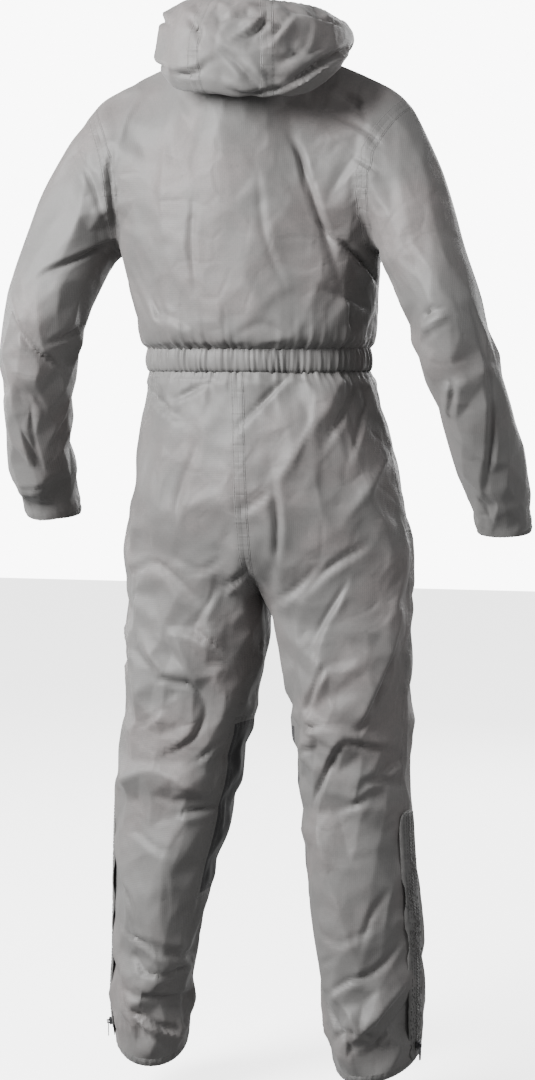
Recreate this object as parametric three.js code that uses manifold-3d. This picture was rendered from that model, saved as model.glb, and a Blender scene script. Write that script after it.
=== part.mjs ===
// A hooded one-piece rain suit, size L, filled out as it is when it is worn, with the hood down.
// +Z is up, the wearer faces -Y and the wearer's left is +X. Lengths are millimetres.
// Heights in the tables are above the ground that the wearer stands on. The last group lowers the
// suit, so that the origin is the middle of the neck opening, where the wearer's shoulders hold it.
//
// The outside of the suit is one skin of points and four-sided cells. Each cell belongs to a cut
// piece, and each piece becomes a cloth wall: its cells, the same cells moved in by the thickness of
// the wall, and a rim that stops short of the next piece by half the seam gap.
import * as THREE from "three";
import { mergeVertices } from "three/addons/utils/BufferGeometryUtils.js";
import Module from "manifold-3d";

// Driving sizes
const WALL = 2; // thickness of the cloth walls
const SEAM_GAP = 0.3; // between neighbouring pieces
const SHARPEST = 0.25; // sine of the sharpest half angle at a seam
const LAID_GAP = 0.8; // between a panel and what lies on it
const NECK = { x: 15, y: 20, height: 1515 }; // middle of the neck opening
const BODY_COLUMNS = 48; // round the body
const SIDE_COLUMN = BODY_COLUMNS / 4; // the side seam
const BACK_COLUMN = BODY_COLUMNS / 2; // centre back
const UNDERARM_COLUMNS = 4; // of the body's columns, under each sleeve
const ARMHOLE_ROWS = 8; // from the underarm up to the shoulder
const SHOULDER_COLUMNS = 5; // of the back panel's columns, along each shoulder seam
const CROTCH_COLUMNS = 4; // through the fork, from back to front
const HOOD_SPLIT = 2; // hood columns to one column of the neck seam
const BODY_SQUARENESS = 0.88; // 1 is an ellipse, less is squarer
const PATCH_PASSES = 4; // that even out the panels above the underarm
const HEAD_PASSES = 2; // and the heads of the sleeves and legs
const FRONT_COLOUR = 0x8b8a89;
const DARK_COLOUR = 0x4c4c4d;
const TRIM_COLOUR = 0x757474;
const METAL_COLOUR = 0x3a3a3c;

// Level sections of the jacket part, from the waistband's top edge to the underarm
const JACKET_SECTIONS = [
  { height: 1105, x: 8, y: 0, half: 157, front: 112, back: 116 },
  { height: 1111, x: 8, y: 1, half: 165, front: 120, back: 129 },
  { height: 1128, x: 9, y: 2, half: 172, front: 124, back: 137 },
  { height: 1158, x: 11, y: 4, half: 178, front: 126, back: 137 },
  { height: 1198, x: 13, y: 7, half: 184, front: 127, back: 134 },
  { height: 1240, x: 15, y: 10, half: 191, front: 126, back: 129 },
];

// Armhole edge of the left side, from the first row above the underarm to the shoulder's tip.
// out is measured from the middle of the chest, back and front are places along Y.
const CHEST_X = 15;
const ARMHOLE_EDGE = [
  { height: 1262, out: 184, back: 66, front: -46 },
  { height: 1288, out: 182, back: 88, front: -62 },
  { height: 1316, out: 181, back: 97, front: -68 },
  { height: 1345, out: 183, back: 99, front: -66 },
  { height: 1375, out: 189, back: 95, front: -58 },
  { height: 1405, out: 202, back: 84, front: -42 },
  { height: 1432, out: 220, back: 60, front: -16 },
  { height: 1453, out: 240, back: 22, front: 22 },
];

// Neck seam, round NECK
const NECK_SEAM = { reachSide: 82, reachBack: 80, reachFront: 88, side: 1527, back: 1520, front: 1468 };
const BACK_BULGE = -42; // flattens the back between the armholes
const CHEST_BULGE = 16;

// Level sections of the trouser part, from the waistband's lower edge to the fork
const SEAT_SECTIONS = [
  { height: 1066, x: 7, y: 0, half: 161, front: 112, back: 116 },
  { height: 1052, x: 5, y: 0, half: 167, front: 115, back: 120 },
  { height: 1020, x: 2, y: 1, half: 174, front: 119, back: 126 },
  { height: 965, x: -2, y: 3, half: 186, front: 121, back: 135 },
  { height: 905, x: -5, y: 4, half: 197, front: 119, back: 138 },
  { height: 850, x: -7, y: 5, half: 207, front: 115, back: 132 },
  { height: 805, x: -7, y: 5, half: 213, front: 108, back: 120 },
];
// Under the fork, from the back to the front
const FORK = [
  { y: 66, height: 767 },
  { y: 8, height: 750 },
  { y: -50, height: 768 },
];
const FORK_X = -6;

// Sections across each leg. out is half the width from inseam to outseam, deep is half from front
// to back, splay turns the toes out and drop lowers the back of the section below its middle.
const LEFT_LEG = [
  { x: 98, y: 5, height: 690, out: 106, deep: 108, splay: 5, drop: 0 },
  { x: 110, y: 3, height: 590, out: 99, deep: 104, splay: 8, drop: 0 },
  { x: 124, y: -2, height: 500, out: 93, deep: 99, splay: 11, drop: 0 },
  { x: 138, y: -2, height: 420, out: 88, deep: 96, splay: 13, drop: 0 },
  { x: 150, y: 4, height: 340, out: 76, deep: 94, splay: 15, drop: 2 },
  { x: 160, y: 6, height: 270, out: 67, deep: 91, splay: 16, drop: 4 },
  { x: 167, y: 4, height: 200, out: 62, deep: 88, splay: 16, drop: 8 },
  { x: 172, y: 2, height: 145, out: 62, deep: 86, splay: 16, drop: 12 },
  { x: 173, y: 0, height: 106, out: 59, deep: 80, splay: 16, drop: 16 },
  { x: 174, y: -2, height: 82, out: 55, deep: 73, splay: 16, drop: 20 },
  { x: 174, y: -2, height: 72, out: 52, deep: 70, splay: 16, drop: 20 },
];
const RIGHT_LEG = [
  { x: -125, y: 5, height: 690, out: 98, deep: 108, splay: 5, drop: 0 },
  { x: -132, y: 3, height: 590, out: 85, deep: 104, splay: 8, drop: 0 },
  { x: -138, y: -2, height: 500, out: 79, deep: 99, splay: 12, drop: 0 },
  { x: -144, y: -2, height: 420, out: 78, deep: 97, splay: 14, drop: 0 },
  { x: -151, y: 4, height: 340, out: 77, deep: 96, splay: 15, drop: 2 },
  { x: -159, y: 6, height: 270, out: 76, deep: 94, splay: 16, drop: 4 },
  { x: -164, y: 4, height: 200, out: 71, deep: 91, splay: 16, drop: 8 },
  { x: -167, y: 2, height: 145, out: 68, deep: 87, splay: 16, drop: 12 },
  { x: -170, y: 0, height: 106, out: 65, deep: 81, splay: 16, drop: 16 },
  { x: -172, y: -2, height: 82, out: 60, deep: 75, splay: 16, drop: 20 },
  { x: -172, y: -2, height: 72, out: 57, deep: 72, splay: 16, drop: 20 },
];
const LEG_ROW_HEIGHTS = [
  700, 650, 604, 560, 517, 477, 440, 400, 355, 310, 265, 225, 190, 155, 120, 82, 72,
];

// Sections across each sleeve, below the shoulder. out is half the width, deep half the depth.
const LEFT_SLEEVE = [
  { x: 285, y: 52, height: 1226, out: 64, deep: 74 },
  { x: 303, y: 64, height: 1180, out: 61, deep: 71 },
  { x: 314, y: 70, height: 1135, out: 59, deep: 68 },
  { x: 323, y: 63, height: 1082, out: 56, deep: 65 },
  { x: 332, y: 43, height: 1024, out: 51, deep: 61 },
  { x: 338, y: 20, height: 975, out: 50, deep: 58 },
  { x: 341, y: 0, height: 934, out: 50, deep: 56 },
  { x: 341, y: -22, height: 898, out: 49, deep: 54 },
  { x: 341, y: -32, height: 876, out: 47, deep: 51 },
  { x: 340, y: -39, height: 861, out: 42, deep: 44 },
  { x: 340, y: -43, height: 852, out: 41, deep: 43 },
];
const RIGHT_SLEEVE = [
  { x: -247, y: 52, height: 1226, out: 60, deep: 74 },
  { x: -272, y: 64, height: 1180, out: 56, deep: 71 },
  { x: -290, y: 70, height: 1135, out: 54, deep: 68 },
  { x: -304, y: 63, height: 1082, out: 54, deep: 65 },
  { x: -320, y: 43, height: 1024, out: 51, deep: 61 },
  { x: -328, y: 20, height: 975, out: 50, deep: 58 },
  { x: -336, y: 0, height: 934, out: 50, deep: 56 },
  { x: -341, y: -22, height: 894, out: 49, deep: 55 },
  { x: -344, y: -32, height: 866, out: 47, deep: 51 },
  { x: -345, y: -39, height: 847, out: 40, deep: 44 },
  { x: -345, y: -43, height: 838, out: 39, deep: 43 },
];
const SLEEVE_HEAD_ROWS = 4; // from the armhole to the first section
const SLEEVE_HEAD_BULGE = { left: 26, right: 20 };
const SLEEVE_ROWS = 12; // from the first section to the cuff's binding
const CUFF_COLUMNS = 20;

// Hood, thrown back: it stands up from the neck seam, rolls over, hangs behind and comes up again.
// reach is measured from the neck's middle; the three directions are front, side and back.
const HOOD_ROWS = [
  { frontReach: 93, front: 1483, sideReach: 84, side: 1541, backReach: 86, back: 1534 },
  { frontReach: 98, front: 1494, sideReach: 94, side: 1541, backReach: 102, back: 1528 },
  { frontReach: 102, front: 1502, sideReach: 101, side: 1533, backReach: 118, back: 1498 },
  { frontReach: 106, front: 1509, sideReach: 111, side: 1526, backReach: 131, back: 1460 },
  { frontReach: 110, front: 1516, sideReach: 121, side: 1524, backReach: 148, back: 1437 },
  { frontReach: 112, front: 1524, sideReach: 128, side: 1528, backReach: 166, back: 1450 },
  { frontReach: 112, front: 1533, sideReach: 131, side: 1540, backReach: 174, back: 1490 },
  { frontReach: 110, front: 1542, sideReach: 128, side: 1554, backReach: 167, back: 1532 },
  { frontReach: 105, front: 1551, sideReach: 121, side: 1566, backReach: 148, back: 1564 },
  { frontReach: 98, front: 1558, sideReach: 111, side: 1573, backReach: 129, back: 1577 },
  { frontReach: 94, front: 1560, sideReach: 106, side: 1575, backReach: 122, back: 1578 },
];
const HOOD_TILT = 0.07; // the left of the hood stands higher than the right
const HOOD_LEAN = -19; // the hood has slipped towards the right
const HOOD_CENTRE_COLUMNS = 4;

// Waistband: a tunnel of cloth drawn up on elastic
const BAND_SPLIT = 3; // band columns to one of the body's
const BAND_ROWS = [0, 0.2, 0.8, 1];
const BAND_BULGE = 5;
const BAND_GATHER = 3.2; // height of the gathers

// Zips: one down the front and one up the outside of each leg
const TAPE = 1.2; // thickness of the tape
const FRONT_TAPE_REACH = 0.62; // of a column on each side of the centre
const FRONT_ZIP_TOP = 8; // row of the hood where it ends
const FRONT_ZIP_ROWS = 5; // of the trousers' rows below the waistband
const LEG_TAPE_REACH = 0.9;
const LEG_ZIP_FROM = 8; // row of the leg where the zip starts
const SLIDER_SPOT = 0.5; // of the way up its stretch of tape

const smooth = (t) => t * t * (3 - 2 * t);
const clamp01 = (t) => Math.min(1, Math.max(0, t));
const lerp = (a, b, t) => a + (b - a) * t;
const vec = (x, y, z) => new THREE.Vector3(x, y, z);
const signedPower = (value, power) => Math.sign(value) * Math.abs(value) ** power;

// A table's row at a height, on a curve through its rows.
function sectionAt(table, height) {
  let next = table.findIndex((row) => (table[0].height < table.at(-1).height ? row.height >= height : row.height <= height));
  if (next < 1) next = next === 0 ? 1 : table.length - 1;
  const rows = [-2, -1, 0, 1].map((step) => table[Math.min(table.length - 1, Math.max(0, next + step))]);
  const t = clamp01((height - rows[1].height) / (rows[2].height - rows[1].height));
  const section = {};
  for (const key of Object.keys(table[0])) {
    const [before, from, to, after] = rows.map((row) => row[key]);
    const bend = (t * (to - before) + (1 - t) * (from - after)) * t * (1 - t) * 0.25;
    section[key] = key === "height" ? height : lerp(from, to, smooth(t) * 0.5 + t * 0.5) + bend;
  }
  return section;
}

// The skin

const skin = { points: [], cells: [] };

function addPoint(position, parents = null) {
  const point = { position, parents, normal: vec(0, 0, 0), inner: null };
  skin.points.push(point);
  return point;
}

// Cells between neighbouring rows of points. pieceOf(row, column) names each cell's piece.
function addCells(rows, pieceOf, { ring = false, flip = false } = {}) {
  for (let row = 0; row + 1 < rows.length; row++) {
    const columns = rows[row].length - (ring ? 0 : 1);
    for (let column = 0; column < columns; column++) {
      const next = (column + 1) % rows[row].length;
      const corners = [rows[row][column], rows[row][next], rows[row + 1][next], rows[row + 1][column]];
      if (flip) corners.reverse();
      skin.cells.push({ corners, piece: pieceOf(row, column) });
    }
  }
}

// A point of a level section. turn is 0 at centre front and grows towards the wearer's left.
function bodyPoint(section, turn) {
  const across = signedPower(Math.sin(turn), BODY_SQUARENESS);
  const along = signedPower(Math.cos(turn), BODY_SQUARENESS);
  const deep = along > 0 ? section.front : section.back;
  return vec(section.x + section.half * across, section.y - deep * along, section.height);
}

function bodyRing(section) {
  return Array.from({ length: BODY_COLUMNS }, (_, i) =>
    addPoint(bodyPoint(section, (2 * Math.PI * i) / BODY_COLUMNS)),
  );
}

const bodySide = (column) => (column < BACK_COLUMN ? "left" : "right");
const isBack = (column) => column >= SIDE_COLUMN && column < 3 * SIDE_COLUMN;

// Jacket

const jacketRows = JACKET_SECTIONS.map((section) => bodyRing(section));
const jacketPiece = (column) => (isBack(column) ? "jacket_back" : "jacket_front_" + bodySide(column));
addCells(jacketRows, (row, column) => jacketPiece(column), { ring: true });

const underarmRing = jacketRows.at(-1);
const underarmHalf = UNDERARM_COLUMNS / 2;

// The edge of an armhole from the ring's corner up. side is 1 on the left and -1 on the right.
function armholeEdge(side, face) {
  const column = side * SIDE_COLUMN + (face === "back" ? 1 : -1) * side * underarmHalf;
  const corner = underarmRing[(column + BODY_COLUMNS) % BODY_COLUMNS];
  return [corner, ...ARMHOLE_EDGE.slice(0, -1).map((edge) => addPoint(vec(CHEST_X + side * edge.out, edge[face], edge.height)))];
}

const tips = {};
for (const side of [1, -1]) {
  const tip = ARMHOLE_EDGE.at(-1);
  tips[side] = addPoint(vec(CHEST_X + side * tip.out, tip.back, tip.height));
}

// A point of the neck seam. turn is 0 at centre front, a quarter at the wearer's left.
function neckPoint(turn) {
  const forward = Math.cos(turn);
  const blend = smooth(Math.abs(forward));
  const reach = lerp(NECK_SEAM.reachSide, forward > 0 ? NECK_SEAM.reachFront : NECK_SEAM.reachBack, blend);
  const height = lerp(NECK_SEAM.side, forward > 0 ? NECK_SEAM.front : NECK_SEAM.back, blend);
  return vec(NECK.x + reach * Math.sin(turn), NECK.y - reach * forward, height);
}

const backColumns = BACK_COLUMN - UNDERARM_COLUMNS; // of the back panel above the underarm
const neckHalf = backColumns / 2 - SHOULDER_COLUMNS; // neck seam's columns in a quarter turn
const shoulderLine = {};
for (const side of [1, -1]) {
  const neck = neckPoint((side * Math.PI) / 2);
  const tip = tips[side].position;
  shoulderLine[side] = Array.from({ length: SHOULDER_COLUMNS + 1 }, (_, k) => {
    if (k === 0) return tips[side];
    const t = k / SHOULDER_COLUMNS;
    const point = tip.clone().lerp(neck, t);
    point.z += 7 * Math.sin(Math.PI * t); // the shoulder is a little rounded
    return addPoint(point);
  });
}
const quarter = Math.PI / 2;
const neckArc = (from, to) =>
  Array.from({ length: neckHalf - 1 }, (_, k) => addPoint(neckPoint(lerp(from, to, (k + 1) / neckHalf))));
const neckCentre = { front: addPoint(neckPoint(0)), back: addPoint(neckPoint(2 * quarter)) };
const neckArcs = {
  frontLeft: neckArc(quarter, 0),
  backLeft: neckArc(quarter, 2 * quarter),
  backRight: neckArc(2 * quarter, 3 * quarter),
  frontRight: neckArc(4 * quarter, 3 * quarter).reverse(),
};

// Rows between four edges, on a Coons patch with a bulge along Y.
function patchRows(bottom, top, start, end, bulge) {
  const rows = [bottom];
  const last = bottom.length - 1;
  for (let row = 1; row < start.length - 1; row++) {
    const v = row / (start.length - 1);
    rows.push(
      bottom.map((low, column) => {
        if (column === 0) return start[row];
        if (column === last) return end[row];
        const u = column / last;
        const ruled = low.position.clone().lerp(top[column].position, v);
        const across = start[row].position.clone().lerp(end[row].position, u);
        const startLine = start[0].position.clone().lerp(start.at(-1).position, v);
        const endLine = end[0].position.clone().lerp(end.at(-1).position, v);
        const corner = startLine.lerp(endLine, u);
        const point = ruled.add(across).sub(corner);
        point.y += bulge * Math.sin(Math.PI * v) * Math.sin(Math.PI * u);
        return addPoint(point);
      }),
    );
  }
  rows.push(top);
  return rows;
}

// Evens out the points inside a grid, which keeps its edges.
function relax(rows, passes, ring = false) {
  const width = rows[0].length;
  for (let pass = 0; pass < passes; pass++) {
    for (let row = 1; row + 1 < rows.length; row++) {
      for (let column = ring ? 0 : 1; column < (ring ? width : width - 1); column++) {
        const around = [rows[row - 1][column], rows[row + 1][column]];
        around.push(rows[row][(column + width - 1) % width], rows[row][(column + 1) % width]);
        const middle = vec(0, 0, 0);
        for (const point of around) middle.addScaledVector(point.position, 1 / around.length);
        rows[row][column].position.lerp(middle, 0.5);
      }
    }
  }
  return rows;
}

const edges = {};
for (const side of [1, -1]) {
  for (const face of ["back", "front"]) {
    edges[face + side] = [...armholeEdge(side, face), tips[side]];
  }
}
const ringSlice = (from, to) =>
  Array.from({ length: to - from + 1 }, (_, k) => underarmRing[(from + k) % BODY_COLUMNS]);
const backBottom = ringSlice(SIDE_COLUMN + underarmHalf, 3 * SIDE_COLUMN - underarmHalf);
const backTop = [
  ...shoulderLine[1],
  ...neckArcs.backLeft,
  neckCentre.back,
  ...neckArcs.backRight,
  ...[...shoulderLine[-1]].reverse(),
];
const backRows = relax(patchRows(backBottom, backTop, edges.back1, edges["back-1"], BACK_BULGE), PATCH_PASSES);
addCells(backRows, () => "jacket_back");

const centreFront = [underarmRing[0]];
for (let row = 1; row < ARMHOLE_ROWS; row++) {
  const v = row / ARMHOLE_ROWS;
  const point = underarmRing[0].position.clone().lerp(neckCentre.front.position, v);
  point.y -= CHEST_BULGE * Math.sin(Math.PI * v);
  centreFront.push(addPoint(point));
}
centreFront.push(neckCentre.front);
const frontLeftBottom = ringSlice(0, SIDE_COLUMN - underarmHalf).reverse();
const frontRightBottom = ringSlice(3 * SIDE_COLUMN + underarmHalf, BODY_COLUMNS).reverse();
const frontLeftRows = patchRows(
  frontLeftBottom,
  [...shoulderLine[1], ...neckArcs.frontLeft, neckCentre.front],
  edges.front1,
  centreFront,
  -CHEST_BULGE / 2,
);
const frontRightRows = patchRows(
  [...frontRightBottom].reverse(),
  [...shoulderLine[-1], ...neckArcs.frontRight, neckCentre.front],
  edges["front-1"],
  centreFront,
  -CHEST_BULGE / 2,
);
addCells(relax(frontLeftRows, PATCH_PASSES), () => "jacket_front_left", { flip: true });
addCells(relax(frontRightRows, PATCH_PASSES), () => "jacket_front_right");

// Sleeves

// The frame of a tube section: along the tube, out to the side and to the back.
function tubeFrame(before, after, side) {
  const along = vec(after.x - before.x, after.y - before.y, after.height - before.height).normalize();
  const back = vec(0, 1, 0);
  back.addScaledVector(along, -along.y).normalize();
  const out = along.clone().cross(back).multiplyScalar(side);
  return { out, back };
}

// Points round a tube section. Column 0 is outermost and the columns run to the back first.
function tubeRing(table, height, side, columns) {
  const step = 12;
  const section = sectionAt(table, height);
  const frame = tubeFrame(sectionAt(table, height + step), sectionAt(table, height - step), side);
  return Array.from({ length: columns }, (_, k) => {
    const angle = (2 * Math.PI * k) / columns;
    return vec(section.x, section.y, section.height)
      .addScaledVector(frame.out, section.out * Math.cos(angle))
      .addScaledVector(frame.back, section.deep * Math.sin(angle));
  });
}

function underarmPoints(side) {
  const column = side * SIDE_COLUMN;
  const steps = [];
  for (let k = underarmHalf - 1; k > -underarmHalf; k--) steps.push(k);
  return steps.map((k) => underarmRing[(column + side * k + BODY_COLUMNS) % BODY_COLUMNS]);
}

const cuffRings = {};
function sleeve(side, name, table, headBulge) {
  const back = edges["back" + side];
  const front = edges["front" + side];
  const armhole = [...[...back].reverse(), ...underarmPoints(side), ...front.slice(0, -1)];
  const rows = [armhole];
  const first = tubeRing(table, table[0].height, side, CUFF_COLUMNS);
  for (let row = 1; row < SLEEVE_HEAD_ROWS; row++) {
    const t = row / SLEEVE_HEAD_ROWS;
    rows.push(
      armhole.map((start, column) => {
        const top = Math.cos((2 * Math.PI * column) / CUFF_COLUMNS);
        const under = clamp01(-top); // the underarm turns out before it turns down
        const bulge = headBulge * Math.sin(Math.PI * t) * clamp01(top);
        const point = start.position.clone().lerp(first[column], t);
        point.x = lerp(start.position.x, first[column].x, t ** (1 - 0.45 * under)) + side * bulge;
        point.z = lerp(start.position.z, first[column].z, t ** (1 + 0.8 * under)) + bulge * 0.5;
        return addPoint(point);
      }),
    );
  }
  const top = table[0].height;
  const bottom = table.at(-2).height;
  for (let row = 0; row <= SLEEVE_ROWS; row++) {
    const ring = tubeRing(table, lerp(top, bottom, (row / SLEEVE_ROWS) ** 0.92), side, CUFF_COLUMNS);
    rows.push(ring.map((position) => addPoint(position)));
  }
  rows.push(tubeRing(table, table.at(-1).height, side, CUFF_COLUMNS).map((position) => addPoint(position)));
  relax(rows.slice(0, SLEEVE_HEAD_ROWS + 2), HEAD_PASSES, true);
  const last = rows.length - 2;
  addCells(rows, (row) => (row === last ? "cuff_binding_" : "sleeve_") + name, { ring: true, flip: side > 0 });
  cuffRings[name] = rows.at(-1);
}
sleeve(1, "left", LEFT_SLEEVE, SLEEVE_HEAD_BULGE.left);
sleeve(-1, "right", RIGHT_SLEEVE, SLEEVE_HEAD_BULGE.right);

// Trousers

const seatRows = SEAT_SECTIONS.map((section) => bodyRing(section));
const seatPiece = (column) => (isBack(column) ? "trouser_back_" : "trouser_front_") + bodySide(column);
addCells(seatRows, (row, column) => seatPiece(column), { ring: true, flip: true });

const forkPoints = FORK.map((spot) => addPoint(vec(FORK_X, spot.y, spot.height)));
const LEG_COLUMNS = BACK_COLUMN + CROTCH_COLUMNS;
const INSEAM_COLUMN = BACK_COLUMN + CROTCH_COLUMNS / 2;

// Points round a leg. Column SIDE_COLUMN is outermost, the columns before it lie to the front.
function legRing(table, height, side) {
  const section = sectionAt(table, height);
  const splay = THREE.MathUtils.degToRad(section.splay);
  const out = vec(side * Math.cos(splay), Math.sin(splay), 0);
  const back = vec(-side * Math.sin(splay), Math.cos(splay), 0);
  return Array.from({ length: LEG_COLUMNS }, (_, j) => {
    const angle = (2 * Math.PI * (j - SIDE_COLUMN)) / LEG_COLUMNS;
    return vec(section.x, section.y, section.height - section.drop * Math.sin(angle))
      .addScaledVector(out, section.out * Math.cos(angle))
      .addScaledVector(back, section.deep * Math.sin(angle));
  });
}

const CALF_PANEL = { top: 560, bottom: 340, from: BACK_COLUMN - 1, to: BACK_COLUMN + 5 };
const legRows = {};
function leg(side, name, table) {
  const seat = seatRows.at(-1);
  const start = Array.from({ length: BACK_COLUMN + 1 }, (_, j) => seat[(side * j + BODY_COLUMNS) % BODY_COLUMNS]);
  start.push(...forkPoints);
  const rings = LEG_ROW_HEIGHTS.map((height) => legRing(table, height, side));
  const between = start.map((point, j) => addPoint(point.position.clone().lerp(rings[0][j], 0.5)));
  const rows = [start, between, ...rings.map((ring) => ring.map((position) => addPoint(position)))];
  relax(rows.slice(0, 4), HEAD_PASSES, true);
  const last = rows.length - 2;
  const pieceOf = (row, column) => {
    if (row === last) return "hem_binding_" + name;
    const height = row > 1 ? LEG_ROW_HEIGHTS[row - 2] : Infinity;
    const turned = column < SIDE_COLUMN ? column + LEG_COLUMNS : column;
    const inPanel = turned >= CALF_PANEL.from && turned < CALF_PANEL.to;
    if (inPanel && height <= CALF_PANEL.top && height > CALF_PANEL.bottom) return "calf_panel_" + name;
    return (turned >= INSEAM_COLUMN ? "trouser_front_" : "trouser_back_") + name;
  };
  addCells(rows, pieceOf, { ring: true, flip: side > 0 });
  legRows[name] = rows;
}
leg(1, "left", LEFT_LEG);
leg(-1, "right", RIGHT_LEG);

// Hood

const neckLoop = [
  neckCentre.front,
  ...[...neckArcs.frontLeft].reverse(),
  shoulderLine[1].at(-1),
  ...neckArcs.backLeft,
  neckCentre.back,
  ...neckArcs.backRight,
  shoulderLine[-1].at(-1),
  ...neckArcs.frontRight,
];
const hoodStart = neckLoop.flatMap((point, k) => {
  const next = neckLoop[(k + 1) % neckLoop.length];
  const middle = point.position.clone().lerp(next.position, 0.5);
  return [point, addPoint(middle, [point, next])];
});
const hoodColumns = hoodStart.length;

function hoodPoint(row, column) {
  const turn = (2 * Math.PI * column) / hoodColumns;
  const forward = Math.cos(turn);
  const blend = smooth(Math.abs(forward));
  const reach = lerp(row.sideReach, forward > 0 ? row.frontReach : row.backReach, blend);
  const height = lerp(row.side, forward > 0 ? row.front : row.back, blend);
  const x = reach * Math.sin(turn);
  const slipped = smooth(clamp01((reach - 80) / 50));
  return vec(NECK.x + x + HOOD_LEAN * slipped, NECK.y - reach * forward, height + HOOD_TILT * x);
}
const hoodRows = [
  hoodStart,
  ...HOOD_ROWS.map((row) => hoodStart.map((_, column) => addPoint(hoodPoint(row, column)))),
];
const hoodMiddle = hoodColumns / 2;
addCells(
  hoodRows,
  (row, column) => {
    if (row === hoodRows.length - 2) return "hood_binding";
    if (Math.abs(column + 0.5 - hoodMiddle) < HOOD_CENTRE_COLUMNS / 2) return "hood_centre";
    return column < hoodMiddle ? "hood_left" : "hood_right";
  },
  { ring: true },
);

// Folds

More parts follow.
